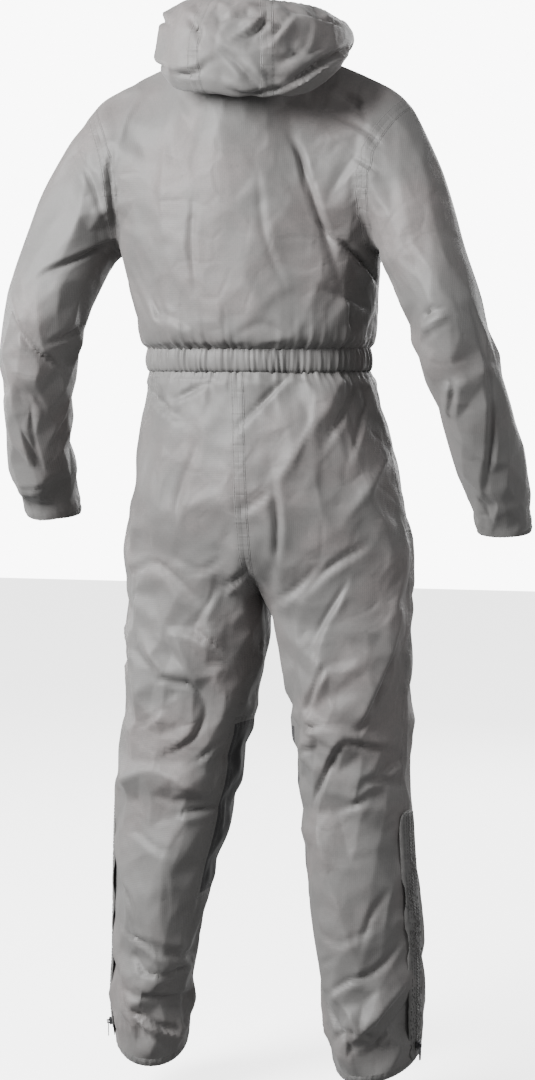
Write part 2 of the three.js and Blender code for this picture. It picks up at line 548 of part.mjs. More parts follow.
// The largest folds. Each is a soft trough along a line from x1, z1 to x2, z2, seen from the back or
// the front of the suit. A negative depth is a ridge.
const FOLDS = [
  // The back, below the shoulder blades
  { face: "back", x1: 220, z1: 1340, x2: 208, z2: 1262, width: 18, depth: 6 },
  { face: "back", x1: 116, z1: 1420, x2: 105, z2: 1250, width: 24, depth: -4 },
  { face: "back", x1: -81, z1: 1372, x2: -137, z2: 1207, width: 20, depth: 6 },
  { face: "back", x1: -108, z1: 1270, x2: -172, z2: 1186, width: 18, depth: 8 },
  { face: "back", x1: -113, z1: 1180, x2: -166, z2: 1152, width: 16, depth: 6 },
  // Left sleeve, round the elbow
  { face: "back", x1: 225, z1: 1244, x2: 298, z2: 1208, width: 18, depth: 6 },
  { face: "back", x1: 338, z1: 1153, x2: 277, z2: 1075, width: 18, depth: 8 },
  { face: "back", x1: 316, z1: 1030, x2: 321, z2: 937, width: 15, depth: 6 },
  { face: "back", x1: 281, z1: 1030, x2: 307, z2: 955, width: 15, depth: 5 },
  // Right sleeve
  { face: "back", x1: -250, z1: 1132, x2: -312, z2: 1146, width: 17, depth: 7 },
  { face: "back", x1: -270, z1: 1046, x2: -302, z2: 1040, width: 16, depth: 6 },
  { face: "back", x1: -334, z1: 1144, x2: -345, z2: 900, width: 14, depth: 4 },
  // Seat
  { face: "back", x1: 2, z1: 982, x2: -69, z2: 1058, width: 18, depth: 7 },
  { face: "back", x1: -56, z1: 908, x2: -128, z2: 1034, width: 20, depth: -7 },
  { face: "back", x1: -112, z1: 950, x2: -151, z2: 1033, width: 17, depth: 6 },
  { face: "back", x1: -52, z1: 895, x2: -52, z2: 804, width: 18, depth: 6 },
  { face: "back", x1: 168, z1: 1036, x2: 80, z2: 988, width: 20, depth: 5 },
  { face: "back", x1: 190, z1: 762, x2: 136, z2: 783, width: 20, depth: 7 },
  { face: "back", x1: 136, z1: 783, x2: 68, z2: 738, width: 20, depth: 9 },
  // Left leg, down to the knee and at the ankle
  { face: "back", x1: 128, z1: 696, x2: 30, z2: 660, width: 18, depth: 7 },
  { face: "back", x1: 146, z1: 625, x2: 64, z2: 598, width: 18, depth: 8 },
  { face: "back", x1: 128, z1: 516, x2: 62, z2: 580, width: 18, depth: 7 },
  { face: "back", x1: 210, z1: 468, x2: 130, z2: 494, width: 17, depth: -8 },
  { face: "back", x1: 130, z1: 494, x2: 60, z2: 470, width: 17, depth: -7 },
  { face: "back", x1: 190, z1: 440, x2: 62, z2: 434, width: 17, depth: 8 },
  { face: "back", x1: 184, z1: 219, x2: 107, z2: 193, width: 16, depth: 7 },
  { face: "back", x1: 196, z1: 166, x2: 110, z2: 152, width: 16, depth: 8 },
  // Right leg
  { face: "back", x1: -98, z1: 684, x2: -147, z2: 762, width: 18, depth: 7 },
  { face: "back", x1: -88, z1: 590, x2: -150, z2: 656, width: 18, depth: 6 },
  { face: "back", x1: -147, z1: 551, x2: -213, z2: 731, width: 20, depth: -7 },
  { face: "back", x1: -168, z1: 556, x2: -214, z2: 664, width: 16, depth: 7 },
  { face: "back", x1: -92, z1: 460, x2: -146, z2: 546, width: 17, depth: 9 },
  { face: "back", x1: -146, z1: 546, x2: -209, z2: 532, width: 17, depth: 8 },
  { face: "back", x1: -131, z1: 442, x2: -215, z2: 476, width: 17, depth: 7 },
  { face: "back", x1: -226, z1: 207, x2: -134, z2: 100, width: 18, depth: -7 },
  { face: "back", x1: -206, z1: 140, x2: -168, z2: 100, width: 16, depth: 6 },
  // The front, which the photograph doesn't show
  { face: "front", x1: -120, z1: 1290, x2: -168, z2: 1180, width: 20, depth: 7 },
  { face: "front", x1: 140, z1: 1300, x2: 178, z2: 1196, width: 20, depth: 7 },
  { face: "front", x1: 70, z1: 1240, x2: 92, z2: 1140, width: 22, depth: 5 },
  { face: "front", x1: -56, z1: 846, x2: -126, z2: 905, width: 18, depth: 8 },
  { face: "front", x1: 48, z1: 842, x2: 116, z2: 915, width: 18, depth: 8 },
  { face: "front", x1: -36, z1: 790, x2: -150, z2: 812, width: 20, depth: 7 },
  { face: "front", x1: 30, z1: 786, x2: 146, z2: 800, width: 20, depth: 8 },
  { face: "front", x1: 80, z1: 560, x2: 186, z2: 532, width: 18, depth: 7 },
  { face: "front", x1: 92, z1: 424, x2: 192, z2: 446, width: 18, depth: 8 },
  { face: "front", x1: -84, z1: 566, x2: -190, z2: 546, width: 18, depth: 8 },
  { face: "front", x1: -90, z1: 450, x2: -196, z2: 426, width: 18, depth: 7 },
  { face: "front", x1: 120, z1: 186, x2: 214, z2: 166, width: 17, depth: 8 },
  { face: "front", x1: -112, z1: 170, x2: -214, z2: 196, width: 17, depth: 8 },
  { face: "front", x1: 268, z1: 1140, x2: 338, z2: 1112, width: 18, depth: 8 },
  { face: "front", x1: 282, z1: 1050, x2: 352, z2: 1066, width: 16, depth: 7 },
  { face: "front", x1: -248, z1: 1120, x2: -326, z2: 1136, width: 18, depth: 8 },
  { face: "front", x1: -268, z1: 1060, x2: -340, z2: 1044, width: 16, depth: 7 },
];
const JACKET_GATHERS = { waves: 24, from: 1106, to: 1160, height: 3 };
const SEAT_GATHERS = { waves: 24, from: 1065, to: 1015, height: 2.4 };

function addNormals() {
  for (const point of skin.points) point.normal.set(0, 0, 0);
  for (const cell of skin.cells) {
    const normal = faceNormal(cell.corners).normalize();
    for (const corner of cell.corners) corner.normal.add(normal);
  }
  for (const point of skin.points) point.normal.normalize();
}

function foldDepth(point) {
  const { x, z } = point.position;
  let depth = 0;
  for (const fold of FOLDS) {
    const facing = point.normal.y * (fold.face === "back" ? 1 : -1);
    if (facing <= 0) continue;
    const [runX, runZ] = [fold.x2 - fold.x1, fold.z2 - fold.z1];
    const along = clamp01(((x - fold.x1) * runX + (z - fold.z1) * runZ) / (runX ** 2 + runZ ** 2));
    const away = Math.hypot(x - fold.x1 - along * runX, z - fold.z1 - along * runZ);
    depth += fold.depth * Math.exp(-((away / fold.width) ** 2)) * smooth(clamp01(facing * 2));
  }
  return depth;
}

// Even gathers below and above the waistband, on alternate columns.
function gatherHeight(rows, { from, to, height }) {
  for (const row of rows) {
    row.forEach((point, column) => {
      const t = (point.position.z - from) / (to - from);
      if (t <= 0 || t >= 1 || column === 0) return;
      const wave = column % 2 ? 1 : -1;
      point.position.addScaledVector(point.normal, wave * height * 0.5 * Math.sin(Math.PI * t));
    });
  }
}

addNormals();
for (const point of skin.points) {
  if (!point.parents) point.position.addScaledVector(point.normal, -foldDepth(point));
}
gatherHeight(jacketRows, JACKET_GATHERS);
gatherHeight(seatRows, SEAT_GATHERS);
addNormals();

// Walls

function faceNormal(corners) {
  const diagonal = corners[2].position.clone().sub(corners[0].position);
  return diagonal.cross(corners[3].position.clone().sub(corners[1].position));
}
for (const point of skin.points) {
  point.inner = point.position.clone().addScaledVector(point.normal, -WALL);
}
for (const point of skin.points) {
  if (point.parents) point.inner = point.parents[0].inner.clone().lerp(point.parents[1].inner, 0.5);
}

// How far each point on a piece's edge is moved into the piece, to leave the seam gap.
function pullIn(cells) {
  const edgesOf = new Map();
  const key = (a, b) => [a, b].map((point) => skin.points.indexOf(point)).sort((x, y) => x - y).join("/");
  for (const cell of cells) {
    cell.corners.forEach((point, k) => {
      const next = cell.corners[(k + 1) % 4];
      const name = key(point, next);
      edgesOf.set(name, [...(edgesOf.get(name) ?? []), { point, next, cell }]);
    });
  }
  const border = [...edgesOf.values()].filter((uses) => uses.length === 1).map((uses) => uses[0]);
  const inward = new Map();
  for (const edge of border) {
    const direction = edge.next.position.clone().sub(edge.point.position).normalize();
    const into = faceNormal(edge.cell.corners).normalize().cross(direction);
    for (const point of [edge.point, edge.next]) inward.set(point, [...(inward.get(point) ?? []), into]);
  }
  const moves = new Map();
  for (const [point, [first, second]] of inward) {
    const into = first.clone().add(second).divideScalar(Math.max(0.3, 1 + first.dot(second)));
    const apart = Math.sqrt(Math.max(0, into.lengthSq() - into.dot(point.normal) ** 2)); // off the bisector
    moves.set(point, into.multiplyScalar(SEAM_GAP / 2 / Math.max(SHARPEST, apart)));
  }
  return { border, moves };
}

// Triangles of a closed body as a geometry.
function geometryOf(triangles) {
  const geometry = new THREE.BufferGeometry().setFromPoints(triangles.flat());
  geometry.computeVertexNormals();
  return geometry;
}
const quad = (a, b, c, d) => [
  [a, b, c],
  [a, c, d],
];

function wallOf(piece) {
  const cells = skin.cells.filter((cell) => cell.piece === piece);
  const { border, moves } = pullIn(cells);
  const still = vec(0, 0, 0);
  const outer = (point) => point.position.clone().add(moves.get(point) ?? still);
  const inner = (point) => point.inner.clone().add(moves.get(point) ?? still);
  const triangles = [];
  for (const { corners } of cells) {
    triangles.push(...quad(...corners.map(outer)));
    const [a, b, c, d] = corners.map(inner);
    triangles.push([a, c, b], [a, d, c]);
  }
  for (const { point, next } of border) {
    // Both pieces at a seam split its twisted rim along the same diagonal.
    const corners = [outer(next), outer(point), inner(point), inner(next)];
    if (skin.points.indexOf(point) > skin.points.indexOf(next)) corners.push(corners.shift());
    triangles.push(...quad(...corners));
  }
  return geometryOf(triangles);
}

// The waistband joins the jacket's lower edge to the trousers' upper edge.
function waistbandGeometry() {
  const columns = BODY_COLUMNS * BAND_SPLIT;
  const around = (ring, face, column) => {
    const point = ring[Math.floor(column / BAND_SPLIT) % BODY_COLUMNS][face];
    const next = ring[(Math.floor(column / BAND_SPLIT) + 1) % BODY_COLUMNS][face];
    return point.clone().lerp(next, (column % BAND_SPLIT) / BAND_SPLIT);
  };
  const inset = SEAM_GAP / 2;
  const at = (face, column, v) => {
    const point = around(jacketRows[0], face, column).lerp(around(seatRows[0], face, column), v);
    point.z += inset * (v < 0.5 ? -1 : 1) * (v === 0 || v === 1 ? 1 : 0);
    return point;
  };
  const outer = BAND_ROWS.map((v) =>
    Array.from({ length: columns }, (_, column) => {
      const turn = (2 * Math.PI * column) / columns;
      const flat = smooth(clamp01((Math.abs(Math.sin(turn / 2)) - 0.12) / 0.12)); // smooth under the zip
      const drawn = Math.sin(Math.PI * v) ** 0.5;
      const gather = column % 2 ? BAND_GATHER : 0;
      const out = drawn * flat * (BAND_BULGE + gather);
      return at("position", column, v).add(vec(Math.sin(turn) * out, -Math.cos(turn) * out, 0));
    }),
  );
  const inner = [0, 1].map((v) => Array.from({ length: columns }, (_, column) => at("inner", column, v)));
  const triangles = [];
  const strip = (upper, lower) => {
    for (let k = 0; k < columns; k++) {
      const next = (k + 1) % columns;
      triangles.push(...quad(lower[k], lower[next], upper[next], upper[k]));
    }
  };
  for (let row = 0; row + 1 < outer.length; row++) strip(outer[row], outer[row + 1]);
  strip(outer.at(-1), inner[1]);
  strip(inner[1], inner[0]);
  strip(inner[0], outer[0]);
  return geometryOf(triangles);
}

// Zips

// A strip of zip tape laid over a line of the skin. Each spot has its points from one side to the
// other; reach says how far the tape goes towards the outer points.
function tapeGeometry(spots, reach) {
  const section = ([before, middle, after], lift) => {
    const ends = [before, after].map((point) => middle.position.clone().lerp(point.position, reach));
    const line = [ends[0], middle.position.clone(), ends[1]];
    return line.map((place) => place.addScaledVector(middle.normal, lift));
  };
  const outer = spots.map((spot) => section(spot, LAID_GAP + TAPE));
  const inner = spots.map((spot) => section(spot, LAID_GAP));
  const triangles = [];
  for (let k = 0; k + 1 < spots.length; k++) {
    for (const side of [0, 1]) {
      triangles.push(...quad(outer[k][side + 1], outer[k][side], outer[k + 1][side], outer[k + 1][side + 1]));
      triangles.push(...quad(inner[k][side], inner[k][side + 1], inner[k + 1][side + 1], inner[k + 1][side]));
    }
    triangles.push(...quad(outer[k][0], inner[k][0], inner[k + 1][0], outer[k + 1][0]));
    triangles.push(...quad(inner[k][2], outer[k][2], outer[k + 1][2], inner[k + 1][2]));
  }
  for (const side of [0, 1]) {
    triangles.push(...quad(inner[0][side + 1], inner[0][side], outer[0][side], outer[0][side + 1]));
    triangles.push(...quad(outer.at(-1)[side + 1], outer.at(-1)[side], inner.at(-1)[side], inner.at(-1)[side + 1]));
  }
  return { geometry: geometryOf(triangles), outer };
}

const ringColumn = (row, column) =>
  [-1, 0, 1].map((step) => row[(column + step + row.length) % row.length]);
const frontSpots = [
  ...hoodRows.slice(1, FRONT_ZIP_TOP + 1).reverse().map((row) => ringColumn(row, 0)),
  ...Array.from({ length: ARMHOLE_ROWS - 1 }, (_, k) => ARMHOLE_ROWS - 1 - k).map((row) => [
    frontRightRows[row].at(-2),
    centreFront[row],
    frontLeftRows[row].at(-2),
  ]),
  ...[...jacketRows].reverse().map((row) => ringColumn(row, 0)),
  ...seatRows.slice(0, FRONT_ZIP_ROWS).map((row) => ringColumn(row, 0)),
];
const legSpots = (name) =>
  legRows[name].slice(LEG_ZIP_FROM, -1).map((row) => {
    const spot = ringColumn(row, SIDE_COLUMN);
    return name === "left" ? spot : spot.reverse();
  });

// Slider and pull, in the slider's own frame: X across the tape, Y out of it, Z up along it.
const box = (x, y, z, width, depth, height) => new THREE.BoxGeometry(width, depth, height).translate(x, y, z);

const wasm = await Module();
wasm.setup();
function toSolid(geometry) {
  const bare = geometry.clone();
  bare.deleteAttribute("normal");
  bare.deleteAttribute("uv");
  const merged = mergeVertices(bare, 1e-4);
  return new wasm.Manifold(
    new wasm.Mesh({
      numProp: 3,
      vertProperties: new Float32Array(merged.attributes.position.array),
      triVerts: new Uint32Array(merged.index.array),
    }),
  );
}
function toGeometry(solid) {
  const mesh = solid.getMesh();
  const geometry = new THREE.BufferGeometry();
  geometry.setAttribute("position", new THREE.BufferAttribute(mesh.vertProperties, 3));
  geometry.setIndex(new THREE.BufferAttribute(mesh.triVerts, 1));
  geometry.computeVertexNormals();
  return geometry;
}

const SLIDER = { width: 8.5, depth: 4, length: 10, narrow: 5.5, gap: 0.5 };
const BAIL = { width: 2.4, post: 1.2, top: 2.6, bottom: -3.2, rise: 3.8 };
const PULL = { width: 6, thick: 1.2, length: 22, bar: 0.6, holeWidth: 3.2, holeEnd: 4.8, tipWidth: 4 };
const sliderTop = SLIDER.gap + SLIDER.depth;
const axisHeight = sliderTop + 1.3; // of the pull's bar, off the tape

function sliderGeometry() {
  const shape = new THREE.Shape();
  const half = SLIDER.length / 2;
  shape.moveTo(-SLIDER.narrow / 2, -half);
  shape.lineTo(SLIDER.narrow / 2, -half);
  shape.lineTo(SLIDER.width / 2, half * 0.2);
  shape.lineTo(SLIDER.width / 2, half);
  shape.lineTo(-SLIDER.width / 2, half);
  shape.lineTo(-SLIDER.width / 2, half * 0.2);
  shape.closePath();
  const body = new THREE.ExtrudeGeometry(shape, { depth: SLIDER.depth, bevelEnabled: false });
  body.rotateX(Math.PI / 2).translate(0, sliderTop, 0);
  const sunk = 0.5; // the bail's feet reach into the slider
  const { width, post, top, bottom, rise } = BAIL;
  const foot = (z) => box(0, sliderTop - sunk + (rise + sunk) / 2, z, width, rise + sunk, post);
  const beam = box(0, sliderTop + rise - post / 2, (top + bottom) / 2, width, post, top - bottom);
  const bail = toSolid(foot(top - post / 2)).add(toSolid(foot(bottom + post / 2))).add(toSolid(beam));
  return toGeometry(toSolid(body).add(bail));
}

// The pull hangs from its bar, whose axis is the pull's own origin.
function pullGeometry() {
  const { width, thick, length, bar, holeWidth, holeEnd, tipWidth } = PULL;
  const shape = new THREE.Shape();
  shape.moveTo(-width / 2, bar);
  shape.lineTo(-width / 2, -length * 0.45);
  shape.lineTo(-tipWidth / 2, -length);
  shape.lineTo(tipWidth / 2, -length);
  shape.lineTo(width / 2, -length * 0.45);
  shape.lineTo(width / 2, bar);
  shape.closePath();
  const hole = new THREE.Path();
  hole.moveTo(-holeWidth / 2, -bar);
  hole.lineTo(holeWidth / 2, -bar);
  hole.lineTo(holeWidth / 2, -holeEnd);
  hole.lineTo(-holeWidth / 2, -holeEnd);
  hole.closePath();
  shape.holes.push(hole);
  const plate = new THREE.ExtrudeGeometry(shape, { depth: thick, bevelEnabled: false });
  return plate.rotateX(Math.PI / 2).translate(0, thick / 2, 0);
}

// Stands a slider on the tape between two of its spots, with its pull hanging straight down.
function placeSlider(name, outer, spot, pullName) {
  const [low, high] = [outer[spot + 1][1], outer[spot][1]];
  const up = high.clone().sub(low).normalize();
  const across = outer[spot][2].clone().sub(outer[spot][0]).normalize();
  across.z = 0; // the hinge lies level
  across.normalize();
  const out = up.clone().cross(across).normalize().negate();
  if (out.dot(outer[spot][1].clone().sub(outer[spot][0]).cross(up)) < 0) out.negate();
  const middle = low.clone().lerp(high, SLIDER_SPOT);
  const right = out.clone().cross(up).normalize();
  const slider = add(name, sliderGeometry(), materials.metal);
  slider.quaternion.setFromRotationMatrix(new THREE.Matrix4().makeBasis(right, out, up));
  slider.position.copy(middle);
  const level = right.clone().setZ(0).normalize();
  const down = vec(0, 0, 1);
  const pull = add(pullName, pullGeometry(), materials.metal);
  pull.quaternion.setFromRotationMatrix(new THREE.Matrix4().makeBasis(level, down.clone().cross(level), down));
  pull.position.copy(middle).addScaledVector(out, axisHeight);
}

// Materials, one for each kind of cloth

const materials = {
  shell: new THREE.MeshStandardMaterial({ color: FRONT_COLOUR, roughness: 0.5, metalness: 0 }),
  panel: new THREE.MeshStandardMaterial({ color: DARK_COLOUR, roughness: 0.7, metalness: 0 }),
  binding: new THREE.MeshStandardMaterial({ color: TRIM_COLOUR, roughness: 0.6, metalness: 0 }),
  metal: new THREE.MeshStandardMaterial({ color: METAL_COLOUR, roughness: 0.4, metalness: 0.8 }),
};
function materialOf(piece) {
  if (piece.startsWith("calf_panel")) return materials.panel;
  if (piece.includes("binding")) return materials.binding;
  return materials.shell;
}

const suit = new THREE.Group();
suit.position.set(-NECK.x, -NECK.y, -NECK.height);
const add = (name, geometry, material) => {
  const mesh = new THREE.Mesh(geometry, material);
  mesh.name = name;
  suit.add(mesh);
  return mesh;
};
for (const piece of new Set(skin.cells.map((cell) => cell.piece))) {
  add(piece, wallOf(piece), materialOf(piece));
}
add("waistband", waistbandGeometry(), materials.shell);

const frontZip = tapeGeometry(frontSpots, FRONT_TAPE_REACH);
add("front_zip", frontZip.geometry, materials.binding);
placeSlider("front_slider", frontZip.outer, 1, "front_pull");
for (const name of ["left", "right"]) {
  const zip = tapeGeometry(legSpots(name), LEG_TAPE_REACH);
  add("leg_zip_" + name, zip.geometry, materials.binding);
  placeSlider("leg_slider_" + name, zip.outer, zip.outer.length - 2, "leg_pull_" + name);
}

const part = new THREE.Group();
part.add(suit);
export default part;
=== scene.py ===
import math

import bmesh
import bpy
import numpy as np
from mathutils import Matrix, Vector, kdtree, noise
from mathutils.bvhtree import BVHTree


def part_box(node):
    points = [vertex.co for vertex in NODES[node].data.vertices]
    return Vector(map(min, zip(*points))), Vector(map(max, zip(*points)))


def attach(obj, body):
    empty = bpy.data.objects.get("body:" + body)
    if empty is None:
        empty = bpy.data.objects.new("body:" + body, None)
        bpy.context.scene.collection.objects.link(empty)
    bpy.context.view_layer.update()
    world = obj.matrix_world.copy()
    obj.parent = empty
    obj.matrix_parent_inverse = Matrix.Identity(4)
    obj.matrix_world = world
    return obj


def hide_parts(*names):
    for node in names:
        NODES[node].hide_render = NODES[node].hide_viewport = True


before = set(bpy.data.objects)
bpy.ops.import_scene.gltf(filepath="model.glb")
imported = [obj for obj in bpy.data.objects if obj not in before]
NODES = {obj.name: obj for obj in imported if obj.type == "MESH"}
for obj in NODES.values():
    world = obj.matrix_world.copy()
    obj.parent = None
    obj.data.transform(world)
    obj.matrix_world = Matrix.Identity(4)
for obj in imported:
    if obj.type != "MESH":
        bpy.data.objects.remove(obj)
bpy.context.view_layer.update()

bl_info = {
    "name": "Rain suit",
    "version": (1, 0, 0),
    "blender": (4, 5, 0),
    "location": "View3D > Sidebar > Rain suit",
    "description": "Cloth, trimmings and studio for the rain suit",
    "category": "Object",
}

MM = 0.001
NECK = np.array((15.0, 20.0, 1515.0))  # the frame's origin, in mm from the ground under the wearer
WALL = 2.0  # mm, thickness of the CAD cloth
TAPE_WALL = 1.2  # mm, thickness of the CAD zip tapes
SEED = 11
TAPE_EDGE = (8.0, 9.4)  # mm from a seam, where the tape under it ends
STITCH_ROW = 7.4  # mm from a seam to a row of stitches beside it
STITCH_PITCH = 5.5  # mm from one drawn stitch to the next
PUCKER_PITCH = 11.0  # mm, about, from one pucker of a seam to the next
WAVES_A_METRE = 0.314  # turns a distance between ribs into a wave texture's scale
CREST_ANGLE = math.radians(82)  # sharper edges than this stay crisp
SIMPLEST_SKIN = 20  # faces; smaller groups are bits of a rim
WELD = 1.6  # mm, how near the edges of two pieces are to be sewn together
BAND_STITCHES = 144  # in each row round the waistband
BAND_WAVES = ((58, 0.9), (83, 1.0), (104, 0.8), (139, 0.5))  # gathers round it and their height in mm
BAND_REACH = 6.0  # mm that the waistband is stretched, to pass under the cloth
BINDING_THICKNESS = 0.0016  # in metres
TAPE_THICKNESS = 0.0009
THREAD = (0.0034, 0.0011)  # length and width in metres of a stitch on the waistband
FINE_THREAD = (0.0034, 0.0007)  # of one on a zip's tape
COIL_TURN = (0.0046, 0.0017)  # and of one turn of a zip's coil
ZIP_ROWS = (-0.78, -0.42, 0.42, 0.78)  # rows of stitches across a tape, as shares of half its width
FABRIC = {"quality": 5, "mass": 0.06, "tension_stiffness": 12, "compression_stiffness": 12,
          "shear_stiffness": 6, "pin_stiffness": 0.6}  # of the cloth while it is simulated
LIGHT_GRAVITY = 0.15  # share of the real one, so that the cloth only sags a little
BACKDROP_GLOW = 9.0
FLOOR_GLOW = 3.0
LIGHTS = (  # name, size in m, watts, place from the ground in mm
    ("key", 2.0, 450, (1900, 2300, 2500)),
    ("fill", 1.2, 30, (-3000, 900, 1900)),
    ("side", 1.0, 40, (2800, -900, 1300)),
    ("front", 2.4, 80, (-600, -3000, 1900)),
)

# Cut pieces of cloth: its node, and the width, length and area that it was cut to, in metres
BODY_PIECES = (
    ("jacket_back", 0.56, 0.56, 0.207),
    ("jacket_front_left", 0.31, 0.50, 0.097),
    ("jacket_front_right", 0.31, 0.50, 0.097),
    ("sleeve_left", 0.50, 0.66, 0.222),
    ("sleeve_right", 0.50, 0.66, 0.222),
    ("trouser_back_left", 0.36, 1.08, 0.274),
    ("trouser_back_right", 0.36, 1.08, 0.274),
    ("trouser_front_left", 0.33, 1.06, 0.262),
    ("trouser_front_right", 0.33, 1.06, 0.262),
    ("calf_panel_left", 0.15, 0.26, 0.0350),
    ("calf_panel_right", 0.15, 0.26, 0.0340),
)
HOOD_PIECES = (
    ("hood_centre", 0.09, 0.33, 0.0277),
    ("hood_left", 0.26, 0.34, 0.0540),
    ("hood_right", 0.26, 0.34, 0.0600),
)

# Elastic bindings: node, width and length as cut, gathers round it
BINDINGS = (
    ("cuff_binding_left", 0.011, 0.30, 26),
    ("cuff_binding_right", 0.011, 0.30, 25),
    ("hem_binding_left", 0.013, 0.46, 34),
    ("hem_binding_right", 0.013, 0.46, 36),
    ("hood_binding", 0.013, 0.45, 52),
)

BAND_ROWS = (0.07, 0.93)  # heights of the waistband's two rows of stitches, as shares of its own

# Zips: node, width and length as cut
ZIPS = (
    ("front_zip", 0.029, 0.78),
    ("leg_zip_left", 0.037, 0.37),
    ("leg_zip_right", 0.037, 0.37),
)

